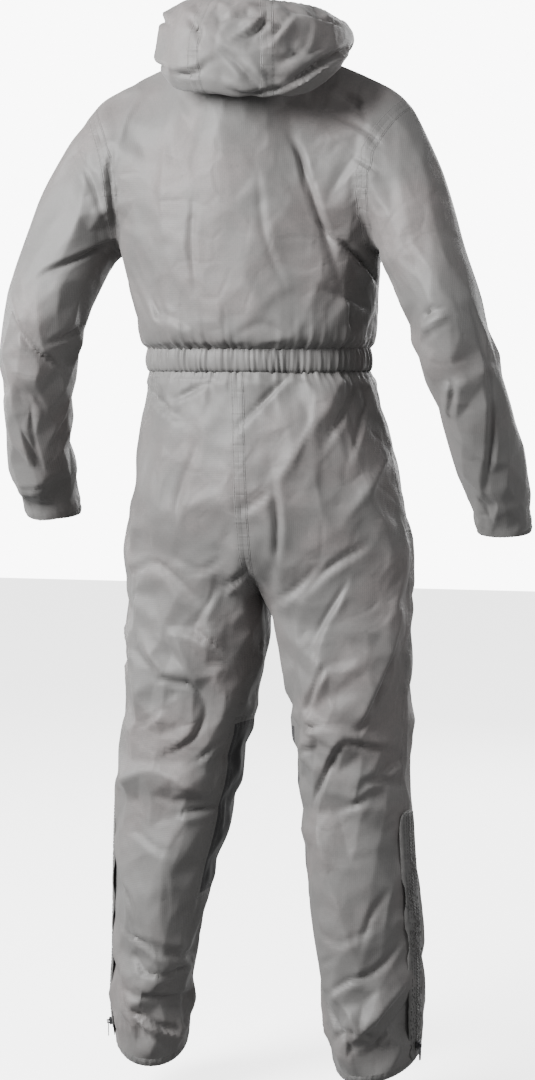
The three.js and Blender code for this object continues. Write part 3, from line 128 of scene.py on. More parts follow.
# Creases: width and depth in mm, lean, and points in mm from the ground under the wearer. A negative
# depth is a ridge, and lean heaps the raised cloth on one side of the line. The points of the creases
# in view are where places read off the photograph meet the cloth.
CREASES = (
    # Back of the jacket part
    (9, 4.0, 0.6, ((200, 94, 1380), (206, 71, 1261))),
    (18, -2.0, 0.0, ((116, 91, 1420), (110, 112, 1330), (105, 127, 1250))),
    (10, 4.0, -0.5, ((-81, 103, 1372), (-110, 108, 1290), (-137, 95, 1207))),
    (8, 5.5, 0.7, ((-111, 108, 1269), (-148, 70, 1226), (-170, 7, 1188))),
    (7, 3.5, 0.6, ((-143, 91, 1241), (-170, 24, 1195))),
    (8, 4.0, 0.6, ((-113, 111, 1179), (-145, 84, 1168), (-164, 30, 1153))),
    (9, 4.0, 0.4, ((262, 70, 1383), (220, 103, 1323), (212, 71, 1254))),
    (10, 2.2, 0.3, ((60, 125, 1300), (66, 131, 1240), (58, 132, 1180))),
    (10, 2.0, -0.4, ((-30, 125, 1330), (-42, 131, 1250), (-66, 130, 1190))),
    (14, -3.0, 0.0, ((103, 85, 1448), (73, 121, 1406))),
    (11, -3.5, 0.0, ((158, 54, 1467), (179, 68, 1438), (187, 88, 1394))),
    (9, 3.0, 0.5, ((-68, 105, 1386), (-81, 103, 1359), (-87, 108, 1321))),
    (10, 3.5, 0.5, ((-119, 82, 1424), (-158, 84, 1404), (-192, 91, 1375))),
    (9, 3.5, -0.5, ((-127, 60, 1458), (-153, 63, 1443), (-171, 79, 1413))),
    (7, 3.0, 0.4, ((-155, 96, 1362), (-180, 99, 1347), (-194, 100, 1339))),
    (9, 1.8, 0.5, ((140, 108, 1150), (93, 127, 1138), (56, 129, 1117))),
    (9, 1.6, -0.5, ((11, 132, 1117), (-36, 136, 1135), (-85, 114, 1113))),
    (7, 3.0, 0.4, ((136, 110, 1167), (119, 117, 1139))),
    (7, 3.5, 0.5, ((-140, 77, 1166), (-147, 66, 1124))),
    # Left sleeve
    (9, 5.0, 0.7, ((204, 64, 1254), (250, 110, 1228), (293, 131, 1210))),
    (9, 6.5, -0.7, ((338, 127, 1153), (310, 128, 1108), (277, 97, 1075))),
    (8, 4.0, 0.6, ((287, 123, 1104), (254, 62, 1133))),
    (8, 4.0, 0.6, ((320, 117, 1042), (303, 89, 1010))),
    (8, 4.0, -0.6, ((316, 104, 1021), (322, 84, 976), (321, 58, 937))),
    (8, 4.0, 0.6, ((340, 86, 974), (332, 66, 942), (321, 45, 914))),
    (8, 3.5, 0.5, ((281, 46, 1024), (307, 60, 959))),
    (7, 3.0, 0.4, ((374, 26, 898), (350, 36, 893), (324, 37, 896))),
    (7, 2.0, 0.0, ((300, 60, 1190), (330, 40, 1150), (350, 20, 1120))),
    # Right sleeve
    (9, 4.0, 0.5, ((-199, 89, 1213), (-222, 94, 1172))),
    (9, 5.0, 0.7, ((-257, 126, 1137), (-282, 129, 1146), (-307, 130, 1146))),
    (8, 4.0, -0.6, ((-255, 115, 1110), (-282, 124, 1126), (-307, 130, 1147))),
    (8, 4.0, 0.5, ((-270, 110, 1046), (-300, 117, 1048), (-292, 88, 1007))),
    (9, 4.0, 0.6, ((-330, 110, 1144), (-346, 105, 1085), (-349, 95, 1028), (-328, 34, 887))),
    (7, 3.0, 0.5, ((-320, 29, 887), (-335, 17, 858))),
    # Seat
    (8, 5.5, 0.7, ((2, 134, 982), (-30, 126, 1020), (-69, 108, 1061))),
    (13, -4.0, 0.0, ((-56, 139, 908), (-94, 118, 975), (-128, 87, 1034))),
    (8, 4.5, 0.6, ((-118, 116, 961), (-136, 92, 995), (-151, 63, 1033))),
    (8, 4.0, 0.6, ((-152, 96, 943), (-166, 35, 1026))),
    (10, 4.5, -0.5, ((-56, 139, 907), (-60, 134, 860), (-55, 122, 804))),
    (9, 3.5, 0.4, ((0, 138, 867), (-30, 140, 885), (-56, 139, 907))),
    (8, 4.0, 0.5, ((104, 108, 1023), (75, 114, 1036), (48, 118, 1047))),
    (9, 4.5, 0.6, ((168, 39, 1039), (128, 90, 1018), (80, 123, 991))),
    (12, 2.5, 0.4, ((60, 130, 970), (90, 124, 900), (96, 118, 840))),
    (9, 4.0, 0.5, ((186, 60, 770), (141, 98, 790), (100, 106, 766), (64, 107, 736))),
    # Left thigh and knee
    (10, -2.5, 0.0, ((186, 60, 748), (136, 100, 768), (84, 108, 730))),
    (7, 4.0, 0.5, ((74, 109, 703), (47, 103, 743))),
    (8, 5.5, 0.7, ((121, 110, 696), (78, 110, 696), (25, 78, 654))),
    (8, 4.5, -0.5, ((121, 110, 696), (100, 109, 660), (79, 106, 628))),
    (7, 4.5, 0.6, ((75, 105, 635), (25, 77, 652))),
    (8, 5.5, 0.7, ((144, 100, 625), (112, 104, 620), (80, 104, 613), (64, 94, 590))),
    (8, 5.0, 0.6, ((168, 85, 554), (140, 97, 568), (117, 105, 581), (98, 103, 562))),
    (8, 5.0, -0.6, ((127, 97, 517), (100, 97, 530), (76, 94, 550), (61, 93, 590))),
    (7, 4.0, 0.5, ((95, 91, 493), (65, 78, 520), (35, 55, 543))),
    (11, -4.5, 0.0, ((212, 39, 460), (161, 87, 488), (120, 96, 489), (74, 76, 465), (58, 61, 468))),
    (8, 5.5, 0.6, ((101, 87, 429), (80, 70, 432), (60, 49, 432))),
    (9, 3.0, 0.4, ((170, 75, 400), (140, 90, 380), (110, 92, 372))),
    (9, 2.5, -0.3, ((196, 60, 330), (176, 82, 300), (164, 90, 262))),
    (8, 4.0, 0.5, ((185, 66, 669), (137, 103, 640))),
    (9, 4.5, 0.6, ((35, 100, 756), (8, 104, 771), (-6, 102, 787))),
    (10, -4.0, 0.0, ((160, 90, 681), (121, 107, 635))),
    (9, 3.5, 0.4, ((100, 111, 799), (62, 113, 783), (26, 122, 802))),
    # Left ankle
    (8, 4.5, 0.6, ((204, 64, 257), (147, 88, 230), (103, 34, 208))),
    (7, 4.0, 0.5, ((190, 74, 134), (150, 81, 124), (121, 52, 104), (111, 9, 116))),
    (8, 3.5, -0.5, ((183, 82, 248), (132, 87, 238), (101, 18, 216))),
    (8, 5.5, 0.7, ((182, 83, 219), (154, 90, 193), (107, 48, 193), (102, 28, 201))),
    (8, 5.5, -0.6, ((167, 87, 169), (140, 66, 160), (108, 11, 154))),
    (7, 4.0, 0.5, ((195, 74, 164), (138, 82, 150))),
    (7, 5.0, 0.6, ((180, 82, 134), (150, 62, 110), (116, 18, 88))),
    (8, 3.5, 0.5, ((210, 56, 196), (200, 72, 165), (189, 77, 135), (139, 68, 84))),
    # Right thigh and knee
    (8, 5.0, 0.6, ((-98, 108, 687), (-122, 108, 724), (-147, 102, 762))),
    (7, 4.0, 0.5, ((-90, 105, 683), (-107, 109, 662))),
    (8, 5.0, 0.6, ((-88, 93, 587), (-120, 110, 647), (-158, 105, 657))),
    (12, -4.0, 0.0, ((-147, 99, 551), (-190, 80, 640), (-213, 47, 731))),
    (8, 4.5, -0.6, ((-166, 92, 560), (-192, 78, 616), (-208, 58, 675))),
    (7, 4.5, 0.6, ((-80, 83, 560), (-110, 96, 566), (-140, 103, 565))),
    (7, 4.0, 0.5, ((-81, 84, 555), (-105, 94, 544), (-129, 99, 536))),
    (9, 6.5, -0.7, ((-92, 79, 459), (-124, 97, 521), (-146, 99, 548), (-180, 76, 538), (-209, 37, 532))),
    (8, 4.5, 0.6, ((-187, 70, 491), (-214, 17, 512))),
    (8, 5.0, 0.6, ((-163, 87, 476), (-184, 73, 487), (-215, 19, 474))),
    (8, 4.5, 0.5, ((-131, 93, 442), (-155, 88, 452), (-175, 80, 459))),
    (10, 1.4, 0.3, ((-110, 88, 392), (-140, 94, 376), (-172, 84, 380))),
    (9, 2.5, 0.3, ((-196, 66, 330), (-180, 84, 300), (-168, 90, 260))),
    (9, 4.5, 0.6, ((-32, 75, 735), (-72, 104, 755), (-114, 110, 794))),
    (7, 4.0, -0.5, ((-71, 63, 523), (-100, 93, 539), (-139, 93, 535))),
    (10, 4.0, 0.5, ((-82, 104, 747), (-126, 107, 790), (-179, 86, 825))),
    (11, -4.0, 0.0, ((-148, 108, 860), (-182, 70, 915), (-187, 0, 969))),
    # Right ankle
    (9, 2.4, 0.5, ((-102, 77, 272), (-139, 97, 258), (-194, 81, 286))),
    (9, 4.5, 0.6, ((-110, 66, 169), (-146, 93, 200), (-188, 86, 215), (-218, 59, 247))),
    (8, 4.5, -0.6, ((-117, 64, 110), (-153, 91, 135), (-186, 77, 126))),
    (8, 3.5, 0.5, ((-109, 76, 222), (-131, 92, 234))),
    (8, 4.0, 0.5, ((-160, 89, 149), (-182, 80, 120))),
    (12, -5.0, 0.0, ((-226, 42, 207), (-204, 68, 178), (-180, 84, 149), (-134, 74, 100))),
    (8, 4.5, 0.5, ((-216, 25, 180), (-196, 66, 132), (-176, 76, 100))),
    (8, 4.0, 0.5, ((-112, 60, 160), (-140, 78, 130), (-150, 70, 96))),
    (6, 3.0, 0.0, ((-216, 25, 427), (-228, 10, 300), (-236, -10, 159))),
    # Front of the jacket part, which the photograph doesn't show
    (9, 4.5, 0.6, ((-84, -96, 1380), (-118, -106, 1300), (-160, -60, 1190))),
    (9, 4.5, -0.6, ((106, -98, 1370), (138, -98, 1290), (180, -50, 1196))),
    (8, 4.0, 0.6, ((-90, -116, 1180), (-130, -98, 1160), (-164, -40, 1148))),
    (8, 4.0, 0.5, ((84, -120, 1220), (100, -118, 1180), (96, -116, 1140))),
    (8, 3.5, 0.5, ((-52, -118, 1270), (-64, -122, 1210), (-58, -122, 1140))),
    (8, 3.5, 0.5, ((150, -90, 1180), (128, -104, 1160), (104, -112, 1132))),
    # Front of the sleeves
    (9, 5.0, 0.6, ((232, -10, 1230), (268, 0, 1200), (310, -12, 1180))),
    (9, 5.5, -0.6, ((262, 6, 1140), (300, 4, 1122), (346, 20, 1108))),
    (8, 4.0, 0.6, ((290, -14, 1050), (322, -22, 1060), (356, -6, 1066))),
    (8, 4.0, 0.6, ((300, -50, 960), (330, -58, 948), (366, -50, 930))),
    (9, 5.0, 0.6, ((-206, -10, 1220), (-240, 0, 1196), (-284, 0, 1184))),
    (9, 5.5, -0.6, ((-244, 6, 1120), (-280, 4, 1130), (-326, 20, 1136))),
    (8, 4.0, 0.6, ((-262, 0, 1060), (-300, -10, 1050), (-344, 10, 1044))),
    (8, 4.0, 0.6, ((-296, -40, 960), (-326, -58, 940), (-362, -40, 930))),
    # Front of the trousers
    (9, 5.0, 0.7, ((-30, -118, 820), (-76, -118, 866), (-140, -92, 920))),
    (9, 5.0, -0.7, ((22, -118, 816), (66, -118, 866), (124, -96, 926))),
    (8, 4.5, 0.6, ((-28, -100, 780), (-90, -116, 800), (-160, -84, 816))),
    (8, 4.5, -0.6, ((20, -100, 776), (84, -114, 792), (150, -84, 804))),
    (8, 3.5, 0.4, ((-50, -118, 1030), (-74, -120, 980), (-66, -120, 930))),
    (8, 3.5, 0.4, ((66, -118, 1036), (84, -118, 990), (104, -114, 950))),
    (9, 5.0, 0.6, ((62, -92, 580), (120, -104, 560), (190, -70, 530))),
    (9, 5.0, -0.6, ((76, -88, 430), (130, -98, 424), (198, -60, 448))),
    (8, 4.0, 0.6, ((90, -94, 500), (130, -102, 486), (176, -84, 492))),
    (9, 5.0, 0.6, ((-70, -92, 580), (-124, -104, 560), (-196, -60, 548))),
    (9, 5.0, -0.6, ((-84, -90, 462), (-140, -98, 438), (-204, -54, 424))),
    (8, 4.0, 0.5, ((-96, -94, 510), (-136, -100, 496), (-180, -84, 500))),
    (8, 5.0, 0.6, ((116, -60, 196), (160, -82, 176), (216, -46, 168))),
    (8, 4.5, -0.6, ((124, -56, 140), (168, -80, 130), (214, -50, 112))),
    (8, 5.0, 0.6, ((-110, -60, 170), (-160, -84, 184), (-220, -46, 200))),
    (8, 4.5, -0.6, ((-118, -56, 130), (-164, -80, 118), (-212, -50, 104))),
)

# The same for the hood, which rolls over itself behind the neck
HOOD_CREASES = (
    (8, 8.0, 0.9, ((-71, 170, 1448), (-100, 155, 1465), (-122, 132, 1487), (-137, 69, 1511))),
    (8, 5.8, 0.7, ((-63, 181, 1481), (-86, 171, 1488), (-104, 152, 1507), (-108, 140, 1531))),
    (8, 5.8, 0.6, ((12, 190, 1506), (-17, 191, 1478), (-42, 182, 1452))),
    (7, 5.8, -0.6, ((-20, 188, 1519), (-42, 181, 1531), (-52, 166, 1551))),
    (7, 5.1, 0.5, ((10, 181, 1541), (-26, 175, 1547), (-66, 166, 1540))),
    (8, 6.5, 0.7, ((-30, 189, 1505), (-60, 179, 1514), (-81, 155, 1544))),
    (8, 5.8, 0.5, ((26, 191, 1489), (49, 181, 1475), (84, 161, 1478))),
    (8, 5.1, -0.5, ((-5, 184, 1449), (-31, 177, 1443), (-68, 173, 1452))),
    (7, 5.1, 0.6, ((-88, 143, 1553), (-114, 119, 1544), (-131, 76, 1541))),
    (9, 5.1, -0.5, ((59, 163, 1553), (39, 181, 1531), (33, 188, 1503))),
    (7, 5.1, 0.6, ((-85, 169, 1501), (-101, 159, 1493), (-121, 130, 1509))),
    (7, 5.1, 0.5, ((-44, 188, 1483), (-60, 179, 1461), (-85, 167, 1465))),
    (8, 5.8, 0.6, ((96, 150, 1486), (118, 110, 1500), (128, 60, 1520))),
    (8, 5.1, 0.5, ((80, 150, 1540), (108, 110, 1552), (122, 60, 1560))),
    (8, 5.1, 0.5, ((-118, 20, 1560), (-90, 0, 1580), (-50, -20, 1584))),
    (8, 5.1, -0.5, ((110, 20, 1560), (86, 0, 1578), (40, -10, 1586))),
)

# Where the thin cloth is crumpled most: middle in mm from the ground, reach in mm and share
CRUMPLED = (
    ((120, 60, 640), 150, 1.0), ((-120, 60, 610), 150, 0.95), ((120, 70, 480), 110, 0.9),
    ((-130, 70, 480), 120, 1.0), ((120, -80, 560), 150, 0.8), ((-120, -80, 560), 150, 0.8),
    ((160, 40, 150), 120, 0.9), ((-165, 40, 140), 120, 0.8), ((160, -60, 150), 110, 0.7),
    ((-165, -60, 150), 110, 0.7), ((300, 100, 1080), 110, 1.0), ((-290, 100, 1080), 110, 0.8),
    ((320, 40, 940), 100, 0.8), ((-330, 40, 900), 110, 0.7), ((310, 20, 1100), 90, 0.6),
    ((-300, 20, 1100), 90, 0.6), ((-150, 70, 1210), 90, 0.7), ((205, 80, 1270), 70, 0.7),
    ((-130, 80, 1000), 80, 0.6), ((150, 80, 1020), 70, 0.6), ((0, 110, 1135), 60, 0.4),
    ((-20, 130, 1545), 130, 0.9),
)
CRUMPLE_BASE = 0.13  # everywhere else

# Where elastic draws the cloth in: node, reach of the puckers in mm and their height in mm
GATHERED = (
    ("waistband", 20, 1.15),
    ("cuff_binding_left", 10, 0.8),
    ("cuff_binding_right", 10, 0.8),
    ("hem_binding_left", 13, 1.1),
    ("hem_binding_right", 13, 1.1),
)
# Puckers of one edge: distance apart in mm, and shares of the height and of the reach
PUCKERS = ((21, 0.9, 1.6), (17, 1.0, 1.0), (13, 1.1, 0.65), (9.6, 0.8, 0.45), (35, 0.9, 2.1))

# Sections across a crease: distance in widths, and height in depths. Thin crisp cloth turns sharply at
# a crest or a root and lies nearly flat between them.
SOFT_FOLD = ((-2.6, -1.1, 0.0, 1.1, 2.6), (0.0, 0.42, -0.80, 0.42, 0.0))
TUCKED_FOLD = ((-1.8, -0.45, 0.40, 1.3, 3.8), (0.0, -0.80, 0.75, 0.35, 0.0))
RIDGE = ((-2.4, -1.0, 0.0, 1.0, 2.4), (0.0, 0.30, 1.0, 0.30, 0.0))


# Colours and nodes

def colour_of(hex_value):
    """An sRGB hex colour as linear red, green, blue and alpha."""
    parts = [int(hex_value[i:i + 2], 16) / 255 for i in (1, 3, 5)]
    return tuple(p / 12.92 if p <= 0.04045 else ((p + 0.055) / 1.055) ** 2.4 for p in parts) + (1.0,)


def add(tree, kind, settings=None, sockets=None):
    """Adds a node with its settings. A socket is given a value, or another node's output to link."""
    node = tree.nodes.new(kind)
    for key, value in (settings or {}).items():
        setattr(node, key, value)
    for key, value in (sockets or {}).items():
        if isinstance(value, bpy.types.NodeSocket):
            tree.links.new(value, node.inputs[key])
        else:
            node.inputs[key].default_value = value
    return node


def new_material(name):
    """An empty material with its output, its principled shader and object coordinates."""
    material = bpy.data.materials.new(name)
    material.use_nodes = True
    tree = material.node_tree
    tree.nodes.clear()
    output = add(tree, "ShaderNodeOutputMaterial")
    shader = add(tree, "ShaderNodeBsdfPrincipled")
    tree.links.new(shader.outputs["BSDF"], output.inputs["Surface"])
    coords = add(tree, "ShaderNodeTexCoord").outputs["Object"]
    return material, tree, shader, coords


def maths(tree, operation, *values):
    """The result of a maths node."""
    return add(tree, "ShaderNodeMath", {"operation": operation}, dict(enumerate(values))).outputs["Value"]


def between(tree, value, low, high):
    """0 below low, 1 above high, and smooth between them."""
    sockets = {"Value": value, "From Min": low, "From Max": high}
    return add(tree, "ShaderNodeMapRange", {"interpolation_type": "SMOOTHSTEP"}, sockets).outputs["Result"]


def mixed(tree, share, first, second):
    """Two colours, mixed by share."""
    sockets = {0: share, 6: first, 7: second}
    return add(tree, "ShaderNodeMix", {"data_type": "RGBA"}, sockets).outputs[2]


def scaled(colour, share):
    """A colour made darker or lighter."""
    return tuple(min(1.0, part * share) for part in colour[:3]) + (1.0,)


def finish(tree, shader, shade, settings, height=None, strength=1.0, distance=0.0):
    """Links the colour and the relief to the shader, and sets its other sockets."""
    tree.links.new(shade, shader.inputs["Base Color"])
    if height is not None:
        sockets = {"Height": height, "Strength": strength, "Distance": distance}
        bump = add(tree, "ShaderNodeBump", None, sockets)
        tree.links.new(bump.outputs["Normal"], shader.inputs["Normal"])
    for key, value in settings.items():
        shader.inputs[key].default_value = value


def nylon(name, colour, painted_light, roughness):
    """Thin woven nylon with a soft coating: satin, slightly see-through, and finely crumpled."""
    material, tree, shader, coords = new_material(name)
    # Painted light: patches where the thin cloth lets the warm light inside through, painted as a lighter,
    # warmer colour
    patches = add(tree, "ShaderNodeTexNoise", None,
                  {"Vector": coords, "Scale": 7.0, "Detail": 3.0, "Roughness": 0.55}).outputs["Fac"]
    shade = mixed(tree, between(tree, patches, 0.40, 0.68), colour, painted_light)
    # Fine soft cloudiness of the coating
    cloud = add(tree, "ShaderNodeTexNoise", None,
                {"Vector": coords, "Scale": 260.0, "Detail": 5.0, "Roughness": 0.8}).outputs["Fac"]
    dark = scaled(colour, 0.86)
    shade = mixed(tree, maths(tree, "MULTIPLY", between(tree, cloud, 0.40, 0.66), 0.6), shade, dark)
    # Crumples of the thin cloth, 50 mm and 18 mm across
    bend = add(tree, "ShaderNodeTexNoise", None,
               {"Vector": coords, "Scale": 9.0, "Detail": 2.0, "Distortion": 0.4}).outputs["Color"]
    bent = add(tree, "ShaderNodeVectorMath", {"operation": "MULTIPLY_ADD"},
               {0: bend, 1: (0.06, 0.06, 0.06), 2: coords}).outputs["Vector"]
    facets = add(tree, "ShaderNodeTexVoronoi", {"feature": "SMOOTH_F1"},
                 {"Vector": bent, "Scale": 20.0, "Smoothness": 0.35}).outputs["Distance"]
    small = add(tree, "ShaderNodeTexNoise", {"noise_type": "RIDGED_MULTIFRACTAL"},
                {"Vector": bent, "Scale": 26.0, "Detail": 3.0, "Roughness": 0.5}).outputs["Fac"]
    borders = add(tree, "ShaderNodeTexVoronoi", {"feature": "DISTANCE_TO_EDGE"},
                  {"Vector": bent, "Scale": 22.0}).outputs["Distance"]
    flats = maths(tree, "MULTIPLY", between(tree, borders, 0.0, 0.16), between(tree, patches, 0.42, 0.60))
    height = maths(tree, "MULTIPLY_ADD", flats, 0.06, maths(tree, "MULTIPLY", facets, 0.9))
    height = maths(tree, "MULTIPLY_ADD", small, 0.16, height)
    # Plain weave, drawn much coarser than the real one so that it shows
    weave = add(tree, "ShaderNodeTexWave", {"wave_type": "BANDS", "bands_direction": "X"},
                {"Vector": coords, "Scale": 120.0, "Distortion": 0.6}).outputs["Fac"]
    weft = add(tree, "ShaderNodeTexWave", {"wave_type": "BANDS", "bands_direction": "Z"},
               {"Vector": coords, "Scale": 120.0, "Distortion": 0.6}).outputs["Fac"]
    height = maths(tree, "MULTIPLY_ADD", maths(tree, "MULTIPLY", weave, weft), 0.02, height)
    shade, height = sewn(tree, shade, height, dark)
    coating = {"Roughness": roughness, "Sheen Weight": 0.12, "Sheen Roughness": 0.45,
               "Specular IOR Level": 0.36}
    finish(tree, shader, shade, coating, height, distance=5.5 * MM)
    return material


def sewn(tree, shade, height, dark):
    """Tape that shows through along the seams, its two edges, the stitches and the puckers they draw."""
    seam = add(tree, "ShaderNodeAttribute", {"attribute_name": "seam"}).outputs["Fac"]
    run = add(tree, "ShaderNodeAttribute", {"attribute_name": "run"}).outputs["Fac"]
    deep = scaled(dark, 0.38)
    taped = maths(tree, "SUBTRACT", 1.0, between(tree, seam, *TAPE_EDGE))
    line = maths(tree, "SUBTRACT", 1.0, between(tree, seam, 0.3, 1.5))
    wobble = add(tree, "ShaderNodeTexNoise", {"noise_dimensions": "1D"},
                 {"W": run, "Scale": 0.07, "Detail": 1.0}).outputs["Fac"]
    # Two rows of stitches at the tape's edges
    row = maths(tree, "ABSOLUTE", maths(tree, "SUBTRACT", seam, STITCH_ROW))
    row = maths(tree, "SUBTRACT", 1.0, between(tree, row, 0.3, 1.2))
    beat = maths(tree, "SINE", maths(tree, "MULTIPLY", run, 2 * math.pi / STITCH_PITCH))
    dash = between(tree, beat, -0.2, 0.5)
    uneven = between(tree, wobble, 0.35, 0.6)
    stitch = maths(tree, "MULTIPLY", maths(tree, "MULTIPLY", row, dash), uneven)
    shade = mixed(tree, maths(tree, "MULTIPLY", taped, 0.16), shade, dark)
    shade = mixed(tree, maths(tree, "MULTIPLY", line, 0.04), shade, deep)
    shade = mixed(tree, maths(tree, "MULTIPLY", stitch, 0.40), shade, deep)
    # Puckers across the seam, at uneven distances
    turns = maths(tree, "MULTIPLY", run, 2 * math.pi / PUCKER_PITCH)
    phase = maths(tree, "MULTIPLY_ADD", wobble, 9.0, turns)
    near = maths(tree, "SUBTRACT", 1.0, between(tree, seam, 2.0, 18.0))
    pucker = maths(tree, "MULTIPLY", maths(tree, "SINE", phase), near)
    pucker = maths(tree, "MULTIPLY", pucker, between(tree, wobble, 0.30, 0.62))
    height = maths(tree, "MULTIPLY_ADD", pucker, 0.03, height)
    height = maths(tree, "MULTIPLY_ADD", taped, 0.14, height)
    height = maths(tree, "MULTIPLY_ADD", row, -0.07, height)
    height = maths(tree, "MULTIPLY_ADD", line, -0.02, height)
    return shade, height


def ribbed(name, colour, roughness, spacing):
    """Woven elastic or tape: fine ribs across it, matt."""
    material, tree, shader, coords = new_material(name)
    fluff = add(tree, "ShaderNodeTexNoise", None,
                {"Vector": coords, "Scale": 90.0, "Detail": 4.0, "Roughness": 0.6}).outputs["Fac"]
    shade = mixed(tree, between(tree, fluff, 0.35, 0.7), colour, scaled(colour, 0.72))
    ribs = add(tree, "ShaderNodeTexWave", {"wave_type": "BANDS", "bands_direction": "Z"},
               {"Vector": coords, "Scale": WAVES_A_METRE / (spacing * MM), "Distortion": 0.8}).outputs["Fac"]
    height = maths(tree, "MULTIPLY_ADD", fluff, 0.7, maths(tree, "MULTIPLY", ribs, 0.3))
    yarn = {"Roughness": roughness, "Sheen Weight": 0.15}
    finish(tree, shader, shade, yarn, height, strength=0.8, distance=0.6 * MM)
    return material


def cast_zinc(name, colour):
    """Die-cast zinc with a dark plated finish, rubbed brighter on its high places."""
    material, tree, shader, coords = new_material(name)
    rubbed = add(tree, "ShaderNodeTexNoise", None,
                 {"Vector": coords, "Scale": 400.0, "Detail": 3.0}).outputs["Fac"]
    shade = mixed(tree, between(tree, rubbed, 0.5, 0.75), colour, scaled(colour, 2.2))
    plating = {"Metallic": 1.0, "Roughness": 0.34}
    finish(tree, shader, shade, plating, rubbed, strength=0.3, distance=0.2 * MM)
    return material


def moulded_nylon(name, colour):
    """Moulded nylon coil of a zip: smooth and slightly glossy."""
    material, tree, shader, coords = new_material(name)
    cloudy = add(tree, "ShaderNodeTexNoise", None, {"Vector": coords, "Scale": 300.0}).outputs["Fac"]
    finish(tree, shader, mixed(tree, cloudy, colour, scaled(colour, 0.8)), {"Roughness": 0.4})
    return material


def painted_floor(name, colour):
    """Matt painted studio floor."""
    material, tree, shader, coords = new_material(name)
    blotches = add(tree, "ShaderNodeTexNoise", None, {"Vector": coords, "Scale": 3.0}).outputs["Fac"]
    paint = {"Roughness": 0.9, "Emission Color": colour, "Emission Strength": FLOOR_GLOW}
    finish(tree, shader, mixed(tree, blotches, colour, scaled(colour, 1.02)), paint)
    return material


# Shapes

def from_ground(points):
    """Points in mm from the ground as points of the frame, in metres."""
    return (np.asarray(points, float) - NECK) * MM


def select_only(piece):
    """Makes one object the only selected and the active one."""
    bpy.ops.object.select_all(action="DESELECT")
    piece.select_set(True)
    bpy.context.view_layer.objects.active = piece


def linked(name, shape):
    """A new object in the scene from a mesh or a bmesh."""
    if isinstance(shape, bmesh.types.BMesh):
        mesh = bpy.data.meshes.new(name)
        shape.to_mesh(mesh)
        shape.free()
        shape = mesh
    piece = bpy.data.objects.new(name, shape)
    bpy.context.scene.collection.objects.link(piece)
    return piece


def outer_skin(name, wall=WALL):
    """The outer side of a CAD wall: what is left when the faces of its thin rims are taken off."""
    skin = bmesh.new()
    skin.from_mesh(NODES[name].data)
    bmesh.ops.remove_doubles(skin, verts=skin.verts, dist=0.01 * MM)
    thin = wall * MM * 1.03
    rims = [face for face in skin.faces if min(edge.calc_length() for edge in face.edges) < thin]
    bmesh.ops.delete(skin, geom=rims, context="FACES")
    skin.faces.ensure_lookup_table()
    unseen = set(skin.faces)
    inner = []
    while unseen:
        group = [unseen.pop()]
        for face in group:
            for edge in face.edges:
                for other in edge.link_faces:
                    if other in unseen:
                        unseen.remove(other)
                        group.append(other)
        total = sum(face.calc_area() for face in group)
        centre = sum((face.calc_center_median() * face.calc_area() for face in group), Vector()) / total
        outward = sum(face.calc_area() * (face.calc_center_median() - centre).dot(face.normal)
                      for face in group)
        if outward < 0 or len(group) < SIMPLEST_SKIN:
            inner += group
    bmesh.ops.delete(skin, geom=inner, context="FACES")
    return skin


def sewn_together(names, wall=WALL):
    """The outer skins of several nodes as one mesh of quads, each face keeping its piece's number."""
    whole = bmesh.new()
    for number, name in enumerate(names):
        skin = outer_skin(name, wall)
        for face in skin.faces:
            face.material_index = number
        mesh = bpy.data.meshes.new("part")
        skin.to_mesh(mesh)
        skin.free()
        whole.from_mesh(mesh)
        bpy.data.meshes.remove(mesh)
    edge_points = [vert for vert in whole.verts if vert.is_boundary]
    bmesh.ops.remove_doubles(whole, verts=edge_points, dist=WELD * MM)
    bmesh.ops.join_triangles(whole, faces=whole.faces, cmp_materials=True,
                             angle_face_threshold=math.radians(60), angle_shape_threshold=math.radians(70))
    return whole


def smoothed(piece, levels):
    """Subdivides a piece and applies it."""
    select_only(piece)
    modifier = piece.modifiers.new("smooth", "SUBSURF")
    modifier.levels = levels
    modifier.render_levels = levels
    bpy.ops.object.modifier_apply(modifier=modifier.name)


def points_of(mesh):
    """A mesh's points and normals, as arrays."""
    points = np.empty(len(mesh.vertices) * 3, np.float32)
    normals = np.empty(len(mesh.vertices) * 3, np.float32)
    mesh.vertices.foreach_get("co", points)
    mesh.vertex_normals.foreach_get("vector", normals)
    return points.reshape(-1, 3).astype(float), normals.reshape(-1, 3).astype(float)


def set_points(mesh, points):
    """Moves a mesh's points to the given places."""
    mesh.vertices.foreach_set("co", points.astype(np.float32).ravel())
    mesh.update()


def surface_tree(mesh):
    """A tree that finds places on a mesh."""
    return BVHTree.FromPolygons([vert.co for vert in mesh.vertices],
                                [tuple(face.vertices) for face in mesh.polygons])


def add_values(mesh, values):
    """Adds one number for each point of a mesh, under each name."""
    for key, numbers in values.items():
        layer = mesh.attributes.new(key, "FLOAT", "POINT")
        layer.data.foreach_set("value", numbers.astype(np.float32))


